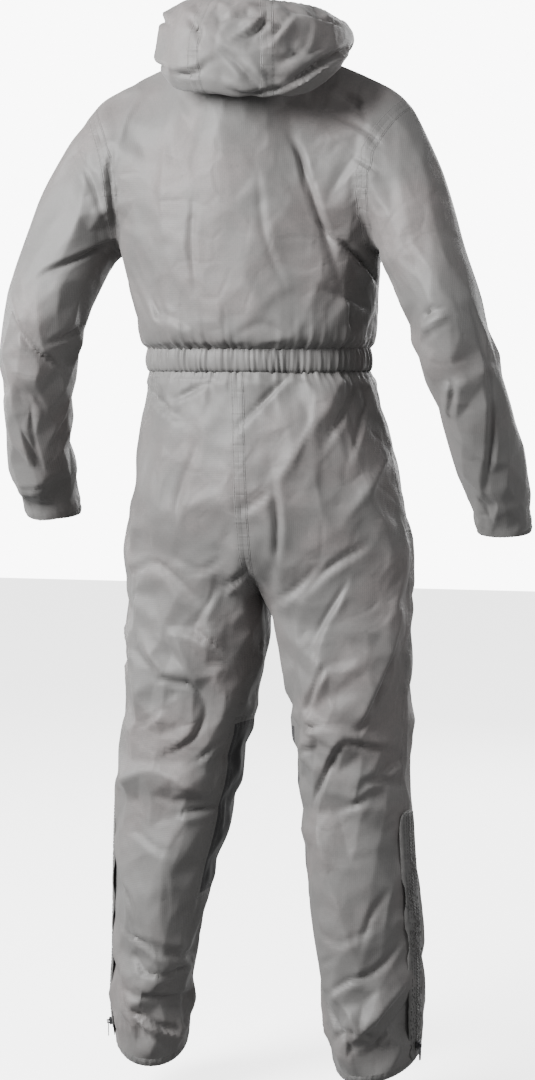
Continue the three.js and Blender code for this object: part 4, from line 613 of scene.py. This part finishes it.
def edges_of(mesh):
    """A mesh's edges, with which of them lie on a seam between two pieces and which on an open rim."""
    ends = np.empty(len(mesh.edges) * 2, np.int32)
    mesh.edges.foreach_get("vertices", ends)
    corner_edges = np.empty(len(mesh.loops), np.int32)
    mesh.loops.foreach_get("edge_index", corner_edges)
    sizes = np.empty(len(mesh.polygons), np.int32)
    mesh.polygons.foreach_get("loop_total", sizes)
    pieces = np.empty(len(mesh.polygons), np.int32)
    mesh.polygons.foreach_get("material_index", pieces)
    owners = np.repeat(pieces, sizes)
    low = np.full(len(mesh.edges), 999)
    high = np.full(len(mesh.edges), -1)
    np.minimum.at(low, corner_edges, owners)
    np.maximum.at(high, corner_edges, owners)
    uses = np.bincount(corner_edges, minlength=len(mesh.edges))
    return ends.reshape(-1, 2), (low != high) & (uses == 2), uses == 1


def runs_along(points, ends):
    """How far along its line each end point of some edges lies, in metres."""
    beside = {}
    for a, b in ends.tolist():
        beside.setdefault(a, []).append(b)
        beside.setdefault(b, []).append(a)
    run = {}
    for start in sorted(beside, key=lambda spot: len(beside[spot]) == 2):
        if start in run:
            continue
        run[start] = 0.0
        waiting = [start]
        while waiting:
            here = waiting.pop()
            for there in beside[here]:
                if there not in run:
                    run[there] = run[here] + float(np.linalg.norm(points[there] - points[here]))
                    waiting.append(there)
    return run


def nearest(points, spots):
    """The distance from each point to the nearest spot, and which spot it is."""
    tree = kdtree.KDTree(len(spots))
    for number, spot in enumerate(spots):
        tree.insert(spot, number)
    tree.balance()
    found = [tree.find(point)[1:] for point in points]
    return np.array([f[1] for f in found]), np.array([f[0] for f in found])


def snapped_path(tree, points, step=6.0):
    """A smooth line through some points in mm from the ground, laid on the cloth."""
    spots = [Vector(tree.find_nearest(Vector(p))[0]) for p in from_ground(points)]
    spots = [spots[0] * 2 - spots[1]] + spots + [spots[-1] * 2 - spots[-2]]
    line = []
    for a, b, c, d in zip(spots, spots[1:], spots[2:], spots[3:]):
        count = max(2, round((c - b).length / (step * MM)))
        for i in range(count):
            t = i / count
            line.append(0.5 * (2 * b + (c - a) * t + (2 * a - 5 * b + 4 * c - d) * t ** 2
                               + (3 * b - a - 3 * c + d) * t ** 3))
    line.append(spots[-2])
    return np.array([tree.find_nearest(p)[0] for p in line])


def crease_heights(points, normals, tree, creases, settings):
    """How far each point of the cloth moves along its normal, for all the creases together."""
    heights = np.zeros(len(points))
    for width, depth, lean, spots in creases:
        line = snapped_path(tree, spots)
        width = width * settings.crease_width
        reach = width * 4.0 * MM
        near = np.all((points > line.min(0) - reach) & (points < line.max(0) + reach), axis=1)
        chosen = np.flatnonzero(near)
        if not len(chosen):
            continue
        start, step = line[:-1], np.diff(line, axis=0)
        length = np.linalg.norm(step, axis=1)
        offset = points[chosen][:, None, :] - start[None]
        share = np.clip((offset * step).sum(2) / (length ** 2), 0, 1)
        away = offset - share[..., None] * step
        distance = np.linalg.norm(away, axis=2)
        best = distance.argmin(1)
        rows = np.arange(len(chosen))
        distance = distance[rows, best] / (width * MM)
        before = np.concatenate(([0.0], np.cumsum(length)))[best]
        along = (before + share[rows, best] * length[best]) / length.sum()
        side = np.sign((np.cross(step[best], normals[chosen]) * away[rows, best]).sum(1))
        across = distance * side * (1 if lean >= 0 else -1)
        shape = RIDGE if depth < 0 else SOFT_FOLD
        profile = np.interp(across, *shape)
        if depth > 0:
            profile += abs(lean) * (np.interp(across, *TUCKED_FOLD) - profile)
        taper = np.sin(np.pi * np.clip(along * 0.88 + 0.06, 0, 1)) ** 0.7
        heights[chosen] += settings.creases * abs(depth) * MM * taper * profile
    return heights


def crumpled(piece, points, normals, height, size):
    """Thin crisp cloth breaks into flat facets: points drawn to a coarse copy with uneven corners."""
    coarse = linked("facets", piece.data.copy())
    grain = 1 / (size * MM)
    rough = np.array([noise.noise(Vector(spot) * grain) for spot in points])
    share = np.full(len(points), CRUMPLE_BASE)
    for middle, reach, most in CRUMPLED:
        away = np.linalg.norm(points - from_ground(middle), axis=1) / (reach * MM)
        share = np.maximum(share, most * np.exp(-away ** 4))
    set_points(coarse.data, points + normals * (rough * share * height * MM)[:, None])
    area = sum(polygon.area for polygon in coarse.data.polygons)
    select_only(coarse)
    modifier = coarse.modifiers.new("coarse", "DECIMATE")
    modifier.ratio = area / (size * MM) ** 2 * 2.1 / (2 * len(coarse.data.polygons))
    bpy.ops.object.modifier_apply(modifier=modifier.name)
    tree = BVHTree.FromObject(coarse, bpy.context.evaluated_depsgraph_get())
    facets = np.array([tree.find_nearest(Vector(point))[0] for point in points])
    bpy.data.objects.remove(coarse)
    heights = ((facets - points) * normals).sum(1)
    return heights * (0.25 + 0.65 * share)


def gathers(points):
    """Short puckers in the cloth beside each elastic edge."""
    dice = np.random.default_rng(SEED)
    heights = np.zeros(len(points))
    for node, reach, height in GATHERED:
        low, high = (np.array(corner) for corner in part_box(node))
        middle, half = (low + high) / 2, (high - low) / 2
        turn = np.arctan2(points[:, 1] - middle[1], points[:, 0] - middle[0])
        over = np.abs(points[:, 2] - middle[2]) - half[2]
        away = np.hypot(points[:, 0] - middle[0], points[:, 1] - middle[1])
        close = (away < half[:2].max() * 1.35) & (over > -0.02) & (over < reach * 6 * MM)
        for pitch, share, far in PUCKERS:
            waves = round(math.pi * (half[0] + half[1]) / (pitch * MM))
            start, beat, swing = dice.uniform(0, 2 * np.pi, 3)
            uneven = 0.55 + 0.45 * np.sin(5 * turn + beat)
            wave = 1 - 2 * np.abs(np.sin(waves / 2 * (turn + 0.03 * np.sin(9 * turn + swing)) + start))
            fade = np.exp(-np.clip(over, 0, 1) / (reach * far * MM))
            if node != "waistband":
                fade *= np.clip(over / (5 * MM), 0.0, 1)
            heights += np.where(close, height * share * wave * uneven * fade * MM, 0)
    return heights


def over_band(points, normals):
    """The lower edge of the jacket part blouses over the waistband's upper edge."""
    low, high = (np.array(corner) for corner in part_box("waistband"))
    middle = (low + high) / 2
    over = points[:, 2] - high[2]
    close = np.hypot(points[:, 0] - middle[0], points[:, 1] - middle[1]) < 0.22
    share = np.where(close & (over > -5 * MM), np.exp(-np.clip(over, 0, 1) / (13 * MM)), 0)
    move = normals * (share * 3.2 * MM)[:, None]
    move[:, 2] -= share * 6.0 * MM
    return move


def drape(piece, held, settings):
    """Lets a piece grow a little between its seams and sag, and takes the result, held to a few mm."""
    start, _ = points_of(piece.data)
    group = piece.vertex_groups.new(name="held")
    levels = np.round(held, 2)
    for level in np.unique(levels):
        group.add(np.flatnonzero(levels == level).tolist(), float(level), "REPLACE")
    modifier = piece.modifiers.new("drape", "CLOTH")
    cloth = modifier.settings
    for key, value in FABRIC.items():
        setattr(cloth, key, value)
    cloth.bending_stiffness = settings.stiffness
    cloth.shrink_min = -settings.growth
    cloth.vertex_group_mass = group.name
    cloth.effector_weights.gravity = LIGHT_GRAVITY
    modifier.collision_settings.use_collision = False
    modifier.point_cache.frame_start = 1
    modifier.point_cache.frame_end = settings.frames
    for number in range(1, settings.frames + 1):
        bpy.context.scene.frame_set(number)
    shown = piece.evaluated_get(bpy.context.evaluated_depsgraph_get()).data
    ended, _ = points_of(shown)
    piece.modifiers.remove(modifier)
    piece.vertex_groups.remove(group)
    bpy.context.scene.frame_set(1)
    moved = ended - start
    far = np.linalg.norm(moved, axis=1)
    limit = settings.reach * MM
    moved *= (np.tanh(far / limit) * limit / np.maximum(far, 1e-9))[:, None]
    set_points(piece.data, start + moved)


def piece_from(mesh, chosen, name, values):
    """A new object from some of a mesh's faces, with the given values of its points as attributes."""
    corners = np.empty(len(mesh.loops), np.int32)
    mesh.loops.foreach_get("vertex_index", corners)
    sizes = np.empty(len(mesh.polygons), np.int32)
    mesh.polygons.foreach_get("loop_total", sizes)
    firsts = np.concatenate(([0], np.cumsum(sizes)))[:-1]
    faces = [corners[firsts[i]:firsts[i] + sizes[i]] for i in chosen]
    used = np.unique(np.concatenate(faces))
    renumber = np.full(len(mesh.vertices), -1)
    renumber[used] = np.arange(len(used))
    points, _ = points_of(mesh)
    made = bpy.data.meshes.new(name)
    made.from_pydata(points[used].tolist(), [], [renumber[face].tolist() for face in faces])
    add_values(made, {key: numbers[used] for key, numbers in values.items()})
    made.shade_smooth()
    return linked(name, made)


def thicken(piece, thickness):
    """Gives a sheet its thickness, inwards from the skin, with crisp cut edges."""
    modifier = piece.modifiers.new("thickness", "SOLIDIFY")
    modifier.thickness = thickness
    modifier.offset = -1.0
    modifier.use_even_offset = False
    select_only(piece)
    bpy.ops.object.modifier_apply(modifier=modifier.name)
    bpy.ops.object.shade_smooth_by_angle(angle=CREST_ANGLE)


def dress(piece, node, material):
    """Gives a piece its material, hangs it under the suit's body and hides the CAD node that it stands for.
    """
    piece.data.materials.clear()
    piece.data.materials.append(material)
    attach(piece, "suit")
    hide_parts(node)


def make_cloth(title, pieces, creases, settings, pick_material, facets):
    """Makes several cut pieces in one go, so that creases and folds run across their seams."""
    names = [row[0] for row in pieces]
    whole = linked(title, sewn_together(names))
    smoothed(whole, 2)
    mesh = whole.data
    if settings.frames:
        points, _ = points_of(mesh)
        ends, on_seam, on_rim = edges_of(mesh)
        distance, _ = nearest(points, points[np.unique(ends[on_seam | on_rim])])
        held = settings.hold + (1 - settings.hold) * np.exp(-(distance / (8 * MM)) ** 2)
        drape(whole, held, settings)
    smoothed(whole, 1)
    points, normals = points_of(mesh)
    tree = surface_tree(mesh)
    ends, on_seam, on_rim = edges_of(mesh)
    seam_spots = np.unique(ends[on_seam])
    seam_run = runs_along(points, ends[on_seam])
    seam_distance, which = nearest(points, points[seam_spots])
    rim_distance, _ = nearest(points, points[np.unique(ends[on_rim])])
    run = np.array([seam_run[seam_spots[i]] for i in which])
    heights = crease_heights(points, normals, tree, creases, settings)
    calm = np.clip(rim_distance / (14 * MM), 0, 1)
    heights *= calm
    creased = points + normals * heights[:, None]
    heights += calm * crumpled(whole, creased, normals, settings.crumple, facets)
    heights += gathers(points)
    set_points(mesh, points + normals * heights[:, None] + over_band(points, normals))
    owner = np.empty(len(mesh.polygons), np.int32)
    mesh.polygons.foreach_get("material_index", owner)
    values = {"seam": seam_distance / MM, "run": run / MM}
    for number, (node, width, length, area) in enumerate(pieces):
        piece = piece_from(mesh, np.flatnonzero(owner == number), "cloth_" + node, values)
        thicken(piece, settings.thickness)
        material, slot = pick_material(node)
        dress(piece, node, material)
    bpy.data.objects.remove(whole)


# Settings

def colour_setting(name, description, hex_value):
    """A setting that holds a colour."""
    return bpy.props.FloatVectorProperty(
        name=name, description=description, default=colour_of(hex_value), size=4, subtype="COLOR")


def share_setting(name, description, default):
    """A setting that holds a share."""
    return bpy.props.FloatProperty(
        name=name, description=description, default=default, subtype="FACTOR")


def length_setting(name, description, default):
    """A setting that holds a length in metres."""
    return bpy.props.FloatProperty(name=name, description=description, default=default, unit="LENGTH")


class RainSuitCloth(bpy.types.PropertyGroup):
    """Settings of the cloth"""
    thickness: length_setting("Thickness", "Thickness of the cloth", 0.0007)
    creases: share_setting("Creases", "Share of the depth of each crease", 2.15)
    crease_width: share_setting("Crease width", "Share of the width of each crease", 0.8)
    facets: bpy.props.FloatProperty(
        name="Facets", description="Width of the flat facets between crumples, in mm", default=34.0)
    crumple: bpy.props.FloatProperty(
        name="Crumples", description="Height of the crumples where there are most, in mm", default=12.0)
    growth: share_setting("Fullness", "How much larger the cloth is than the form under it", 0.03)
    stiffness: bpy.props.FloatProperty(
        name="Stiffness", description="How much the cloth resists bending", default=0.08)
    hold: share_setting("Hold", "How firmly the cloth keeps the form between its seams", 0.06)
    reach: bpy.props.FloatProperty(
        name="Reach", description="How far the simulation may move the cloth, in mm", default=5.0)
    frames: bpy.props.IntProperty(
        name="Frames", description="Frames of simulation, or 0 for none", default=16)
    colour: colour_setting("Cloth", "Colour of the main cloth", "#5f5e5d")
    warm: colour_setting("Thin places", "Colour where light comes through the cloth", "#666160")
    panel: colour_setting("Calf panels", "Colour of the panels inside the calves", "#2d2d2e")


class RainSuitTrim(bpy.types.PropertyGroup):
    """Settings of bindings, zips and thread"""
    binding: colour_setting("Bindings", "Colour of the elastic bindings", "#565554")
    tape: colour_setting("Zip tape", "Colour of the zips' tapes", "#5a5958")
    coil: colour_setting("Zip coil", "Colour of the zips' coils", "#5c5b5a")
    thread: colour_setting("Thread", "Colour of the sewing thread", "#3a3a3b")
    metal: colour_setting("Metal", "Colour of sliders and pulls", "#6a6a6c")
    tooth_pitch: length_setting("Coil pitch", "Distance from one turn of a zip's coil to the next", 0.0024)


class RainSuitStage(bpy.types.PropertyGroup):
    """Settings of the studio"""
    around: bpy.props.FloatProperty(
        name="Round", description="How far the camera stands round from straight behind",
        default=math.radians(16), subtype="ANGLE")
    distance: length_setting("Distance", "From the camera to the suit's middle", 3.6)
    height: length_setting("Height", "Of the camera above the ground", 1.085)
    aim: length_setting("Aim", "Height above the ground that the camera looks at", 0.822)
    lens: bpy.props.FloatProperty(name="Lens", description="Focal length in mm", default=83.0)
    ambient: bpy.props.FloatProperty(
        name="Soft light", description="Strength of the light from all round", default=0.38)
    floor: colour_setting("Floor", "Colour of the floor", "#fbfbfb")


# Operators

def cloth_materials(cloth):
    """The main cloth and the darker cloth of the panels inside the calves."""
    main = bpy.data.materials.get("coated_nylon")
    if main is None:
        main = nylon("coated_nylon", tuple(cloth.colour), tuple(cloth.warm), 0.56)
        nylon("stretch_nylon", tuple(cloth.panel), tuple(cloth.panel), 0.6)
    return main, bpy.data.materials["stretch_nylon"]


class RAINSUIT_OT_body(bpy.types.Operator):
    """Make the jacket part, the sleeves and the trouser part"""
    bl_idname = "rainsuit.body"
    bl_label = "Jacket and trousers"

    def execute(self, context):
        cloth = context.scene.rainsuit_cloth
        main, dark = cloth_materials(cloth)
        pick = lambda node: (dark, "panel_cloth") if node.startswith("calf") else (main, "shell_cloth")
        make_cloth("body", BODY_PIECES, CREASES, cloth, pick, cloth.facets)
        return {"FINISHED"}


class RAINSUIT_OT_hood(bpy.types.Operator):
    """Make the three panels of the hood"""
    bl_idname = "rainsuit.hood"
    bl_label = "Hood"

    def execute(self, context):
        cloth = context.scene.rainsuit_cloth
        main, _ = cloth_materials(cloth)
        pick = lambda node: (main, "shell_cloth")
        make_cloth("hood", HOOD_PIECES, HOOD_CREASES, cloth, pick, cloth.facets * 0.65)
        return {"FINISHED"}


def thread_stitch(length, width):
    """One stitch of thread along X, a short bead with tapered ends."""
    bpy.ops.mesh.primitive_cylinder_add(
        vertices=6, radius=width / 2, depth=length * 0.6, rotation=(0, math.pi / 2, 0))
    bead = bpy.context.object
    bpy.ops.object.transform_apply(location=False, rotation=True, scale=False)
    bpy.ops.object.mode_set(mode="EDIT")
    bpy.ops.mesh.select_all(action="DESELECT")
    bpy.ops.mesh.select_mode(type="FACE")
    bpy.ops.object.mode_set(mode="OBJECT")
    for face in bead.data.polygons:
        face.select = abs(face.normal.x) > 0.9
    bpy.ops.object.mode_set(mode="EDIT")
    bpy.ops.mesh.inset(thickness=width * 0.22)
    bpy.ops.object.mode_set(mode="OBJECT")
    for vert in bead.data.vertices:
        if math.hypot(vert.co.y, vert.co.z) < width * 0.4:
            vert.co.x += math.copysign(length * 0.2, vert.co.x)
    mesh = bead.data.copy()
    bpy.data.objects.remove(bead)
    return mesh


def repeated(name, unit, places):
    """One mesh from many copies of a unit, each at a place with its three directions."""
    own = np.array([vert.co for vert in unit.vertices])
    faces = [tuple(face.vertices) for face in unit.polygons]
    points, corners = [], []
    for spot, along, across, out in places:
        first = len(points) * len(own)
        points.append(own @ np.array((along, across, out)) + spot)
        corners += [tuple(first + i for i in face) for face in faces]
    made = bpy.data.meshes.new(name)
    made.from_pydata(np.concatenate(points).tolist(), [], corners)
    made.shade_smooth()
    return linked(name, made)


class RAINSUIT_OT_waistband(bpy.types.Operator):
    """Make the gathered waistband and its two rows of stitches"""
    bl_idname = "rainsuit.waistband"
    bl_label = "Waistband"

    def execute(self, context):
        cloth, trim = context.scene.rainsuit_cloth, context.scene.rainsuit_trim
        band = linked("cloth_waistband", sewn_together(["waistband"]))
        smoothed(band, 2)
        points, normals = points_of(band.data)
        low, high = points[:, 2].min(), points[:, 2].max()
        share = (points[:, 2] - low) / (high - low)
        middle = (points.max(0) + points.min(0)) / 2
        turn = np.arctan2(points[:, 1] - middle[1], points[:, 0] - middle[0])
        dice = np.random.default_rng(SEED)
        heights = np.zeros(len(points))
        for waves, height in BAND_WAVES:
            start, beat, swing = dice.uniform(0, 2 * np.pi, 3)
            leaning = turn + 0.035 * np.sin(4 * turn + swing) * (share - 0.5)
            leaning += 0.02 * np.sin(11 * turn + beat)
            wave = 1 - 2 * np.abs(np.sin(waves / 2 * leaning + start))
            heights += height * wave * (0.6 + 0.4 * np.sin(7 * turn + swing + 3 * share))
        # Each row of stitches presses the gathers down
        for row in BAND_ROWS:
            heights -= 1.6 * np.exp(-((share - row) / 0.05) ** 2)
        heights += 1.2 * np.exp(-((share - 0.5) / 0.26) ** 2)
        # Its edges pass a little way under the cloth above and below
        points[:, 2] += (share - 0.5) * BAND_REACH * MM
        heights -= 1.8 * np.abs(2 * share - 1) ** 12
        set_points(band.data, points + normals * (heights * MM)[:, None])
        # It lies far from any seam
        add_values(band.data, {"seam": np.full(len(points), 60.0), "run": turn * 160})
        band.data.shade_smooth()
        main, _ = cloth_materials(cloth)
        # Stitches, in the troughs of both rows
        tree = surface_tree(band.data)
        unit = thread_stitch(*THREAD)
        places = []
        for row in BAND_ROWS:
            for number in range(BAND_STITCHES):
                angle = 2 * math.pi * (number + dice.uniform(-0.2, 0.2)) / BAND_STITCHES
                out = Vector((math.cos(angle), math.sin(angle), 0))
                start = Vector((middle[0], middle[1], low + (high - low) * row)) + out * 0.4
                spot, normal, _, _ = tree.ray_cast(start, -out)
                if spot is None:
                    continue
                along = Vector((0, 0, 1)).cross(normal).normalized()
                places.append((np.array(spot + normal * 0.0001), along, normal.cross(along), normal))
        stitches = repeated("waistband_stitches", unit, places)
        stitches.data.materials.append(thread_material(trim))
        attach(stitches, "suit")
        thicken(band, cloth.thickness)
        dress(band, "waistband", main)
        return {"FINISHED"}


def thread_material(trim):
    """The one material of all sewing thread."""
    name = "polyester_thread"
    return bpy.data.materials.get(name) or ribbed(name, tuple(trim.thread), 0.7, 0.4)


class RAINSUIT_OT_bindings(bpy.types.Operator):
    """Make the elastic bindings of the cuffs, the hems and the hood"""
    bl_idname = "rainsuit.bindings"
    bl_label = "Bindings"

    def execute(self, context):
        trim = context.scene.rainsuit_trim
        material = ribbed("woven_elastic", tuple(trim.binding), 0.62, 0.9)
        for node, width, length, gathers in BINDINGS:
            piece = linked("cloth_" + node, sewn_together([node]))
            smoothed(piece, 3)
            points, normals = points_of(piece.data)
            ends, _, on_rim = edges_of(piece.data)
            distance, _ = nearest(points, points[np.unique(ends[on_rim])])
            middle = (points.max(0) + points.min(0)) / 2
            turn = np.arctan2(points[:, 1] - middle[1], points[:, 0] - middle[0])
            # Rolled over the edge, and rippled by the elastic
            share = distance / distance.max()
            heights = 1.3 * np.sqrt(np.clip(share, 0, 1)) - 0.5
            heights += 0.45 * np.sin(gathers * turn + 0.8 * np.sin(3 * turn)) * share
            heights += 0.25 * np.sin(gathers * 1.7 * turn + 1.0)
            # Both edges reach a little further, so that the inner one passes under the cloth
            middle_line = points[share > 0.8]
            _, which = nearest(points, middle_line)
            beside = points - middle_line[which]
            beside -= (beside * normals).sum(1)[:, None] * normals
            beside /= np.maximum(np.linalg.norm(beside, axis=1), MM)[:, None]
            heights -= 0.7 * (1 - share) ** 3
            points = points + beside * (2.6 * MM * (1 - share) ** 2)[:, None]
            set_points(piece.data, points + normals * (heights * MM)[:, None])
            piece.data.shade_smooth()
            thicken(piece, BINDING_THICKNESS)
            dress(piece, node, material)
        return {"FINISHED"}


def strip_line(piece, tree):
    """The middle line of a zip's tape from its top to its bottom, with its normals and its half width."""
    points, _ = points_of(piece.data)
    levels = points[:, 2]
    line, facing, widths = [], [], []
    for level in np.arange(levels.max() - 3 * MM, levels.min() + 3 * MM, -6 * MM):
        row = points[np.abs(levels - level) < 4 * MM]
        if len(row):
            spot, normal, _, _ = tree.find_nearest(row.mean(0))
            line.append(spot)
            facing.append(normal)
            widths.append(np.linalg.norm(row - row.mean(0), axis=1).max())
    return np.array(line), np.array(facing), float(np.median(widths))


def tucked_under(piece, line):
    """A tape's points moved outwards and a little in at its edges, to pass under the cloth beside it."""
    points, normals = points_of(piece.data)
    _, which = nearest(points, line)
    beside = points - line[which]
    beside -= (beside * normals).sum(1)[:, None] * normals
    width = np.linalg.norm(beside, axis=1)
    share = np.clip(width / np.percentile(width, 99), 0, 1)
    return points + beside * (0.22 * share ** 3)[:, None] - normals * (2.0 * MM * share ** 4)[:, None]


class RAINSUIT_OT_zips(bpy.types.Operator):
    """Make the zips' tapes, their coils and their rows of stitches"""
    bl_idname = "rainsuit.zips"
    bl_label = "Zips"

    def execute(self, context):
        trim = context.scene.rainsuit_trim
        tape = ribbed("polyester_twill_tape", tuple(trim.tape), 0.6, 1.2)
        coil = moulded_nylon("moulded_nylon_coil", tuple(trim.coil))
        for node, width, length in ZIPS:
            piece = linked("tape_" + node, sewn_together([node], TAPE_WALL))
            smoothed(piece, 2)
            mesh = piece.data
            tree = surface_tree(mesh)
            points, normals, half = strip_line(piece, tree)
            widened = tucked_under(piece, points)
            steps = np.concatenate(([0.0], np.cumsum(np.linalg.norm(np.diff(points, axis=0), axis=1))))
            count = int(steps[-1] / trim.tooth_pitch)
            reach = np.linspace(0, steps[-1], count)
            line = np.stack([np.interp(reach, steps, points[:, i]) for i in range(3)], 1)
            facing = np.stack([np.interp(reach, steps, normals[:, i]) for i in range(3)], 1)
            unit = thread_stitch(*COIL_TURN)
            places, stitched = [], []
            for number in range(1, count - 1):
                out = Vector(facing[number]).normalized()
                along = Vector(line[number + 1] - line[number - 1]).normalized()
                across = out.cross(along).normalized()
                side = 1 if number % 2 else -1
                spot = Vector(line[number]) + across * side * 0.0011 + out * 0.0006
                places.append((np.array(spot), across, out.cross(across), out))
                for row in ZIP_ROWS:
                    found = tree.find_nearest(Vector(line[number]) + across * row * half)
                    if number % 2 and found[0] is not None:
                        stitched.append((np.array(found[0] + out * 0.0002), along, across, out))
            teeth = repeated("coil_" + node, unit, places)
            teeth.data.materials.append(coil)
            sewing = repeated("stitches_" + node, thread_stitch(*FINE_THREAD), stitched)
            sewing.data.materials.append(thread_material(trim))
            for extra in (teeth, sewing):
                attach(extra, "suit")
            set_points(mesh, widened)
            mesh.shade_smooth()
            thicken(piece, TAPE_THICKNESS)
            dress(piece, node, tape)
        return {"FINISHED"}


class RAINSUIT_OT_metal(bpy.types.Operator):
    """Give the sliders and pulls their plating"""
    bl_idname = "rainsuit.metal"
    bl_label = "Sliders and pulls"

    def execute(self, context):
        metal = cast_zinc("plated_zinc", tuple(context.scene.rainsuit_trim.metal))
        for name, node in NODES.items():
            if name.endswith("_slider") or "_slider_" in name or name.endswith("_pull") or "_pull_" in name:
                node.data.materials.clear()
                node.data.materials.append(metal)
        return {"FINISHED"}


def soft_world(name, stage):
    """A white studio: soft light all round, and a white backdrop behind the suit."""
    world = bpy.data.worlds.new(name)
    world.use_nodes = True
    tree = world.node_tree
    tree.nodes.clear()
    seen = add(tree, "ShaderNodeLightPath").outputs["Is Camera Ray"]
    white = colour_of("#ffffff")
    soft = add(tree, "ShaderNodeBackground", None, {"Color": white, "Strength": stage.ambient})
    backdrop = add(tree, "ShaderNodeBackground", None, {"Color": white, "Strength": BACKDROP_GLOW})
    both = add(tree, "ShaderNodeMixShader", None,
               {0: seen, 1: soft.outputs["Background"], 2: backdrop.outputs["Background"]})
    add(tree, "ShaderNodeOutputWorld", None, {"Surface": both.outputs["Shader"]})
    return world


class RAINSUIT_OT_stage(bpy.types.Operator):
    """Set the floor, the lights and the camera"""
    bl_idname = "rainsuit.stage"
    bl_label = "Studio"

    def execute(self, context):
        stage = context.scene.rainsuit_stage
        ground = from_ground((0, 0, 0))
        bpy.ops.object.select_all(action="DESELECT")
        bpy.ops.mesh.primitive_plane_add(size=16, location=ground)
        floor = context.object
        floor.name = "floor"
        bpy.ops.object.transform_apply(location=True)
        floor.data.materials.append(painted_floor("matt_paint", tuple(stage.floor)))
        floor.visible_diffuse = False
        floor.visible_glossy = False
        context.scene.world = soft_world("studio", stage)
        middle = Vector(from_ground((0, 0, 850)))
        for name, size, watts, place in LIGHTS:
            bpy.ops.object.light_add(type="AREA", location=from_ground(place))
            light = context.object
            light.name = name
            light.data.shape = "DISK"
            light.data.size = size
            light.data.energy = watts
            light.rotation_euler = (middle - light.location).to_track_quat("-Z", "Y").to_euler()
        away = stage.distance / MM
        place = (-math.sin(stage.around) * away, math.cos(stage.around) * away, stage.height / MM)
        bpy.ops.object.camera_add(location=from_ground(place))
        camera = context.object
        camera.name = "camera"
        sideways = Vector((-math.cos(stage.around), -math.sin(stage.around), 0))
        target = Vector(from_ground((0, 0, stage.aim / MM))) + sideways * 0.005
        camera.rotation_euler = (target - camera.location).to_track_quat("-Z", "Y").to_euler()
        camera.data.lens = stage.lens
        camera.data.sensor_width = 36
        context.scene.camera = camera
        return {"FINISHED"}


class RAINSUIT_PT_panel(bpy.types.Panel):
    """The suit's pieces and their settings"""
    bl_idname = "RAINSUIT_PT_panel"
    bl_label = "Rain suit"
    bl_space_type = "VIEW_3D"
    bl_region_type = "UI"
    bl_category = "Rain suit"

    def draw(self, context):
        for name, group in GROUPS:
            box = self.layout.box()
            for key in group.__annotations__:
                box.prop(getattr(context.scene, name), key)
        for operator in OPERATORS:
            self.layout.operator(operator.bl_idname)


GROUPS = (
    ("rainsuit_cloth", RainSuitCloth),
    ("rainsuit_trim", RainSuitTrim),
    ("rainsuit_stage", RainSuitStage),
)
OPERATORS = (
    RAINSUIT_OT_body,
    RAINSUIT_OT_hood,
    RAINSUIT_OT_waistband,
    RAINSUIT_OT_bindings,
    RAINSUIT_OT_zips,
    RAINSUIT_OT_metal,
    RAINSUIT_OT_stage,
)


def register():
    """Registers the settings, the operators and the panel."""
    for key, group in GROUPS:
        bpy.utils.register_class(group)
        setattr(bpy.types.Scene, key, bpy.props.PointerProperty(type=group))
    for one in (*OPERATORS, RAINSUIT_PT_panel):
        bpy.utils.register_class(one)


def unregister():
    """Takes them off again, in the opposite order."""
    for one in reversed((*OPERATORS, RAINSUIT_PT_panel)):
        bpy.utils.unregister_class(one)
    for key, group in reversed(GROUPS):
        delattr(bpy.types.Scene, key)
        bpy.utils.unregister_class(group)


def main():
    """Builds the suit and its studio."""
    register()
    bpy.ops.rainsuit.body()
    bpy.ops.rainsuit.hood()
    bpy.ops.rainsuit.waistband()
    bpy.ops.rainsuit.bindings()
    bpy.ops.rainsuit.zips()
    bpy.ops.rainsuit.metal()
    bpy.ops.rainsuit.stage()
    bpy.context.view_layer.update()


if __name__ == "__main__":
    main()
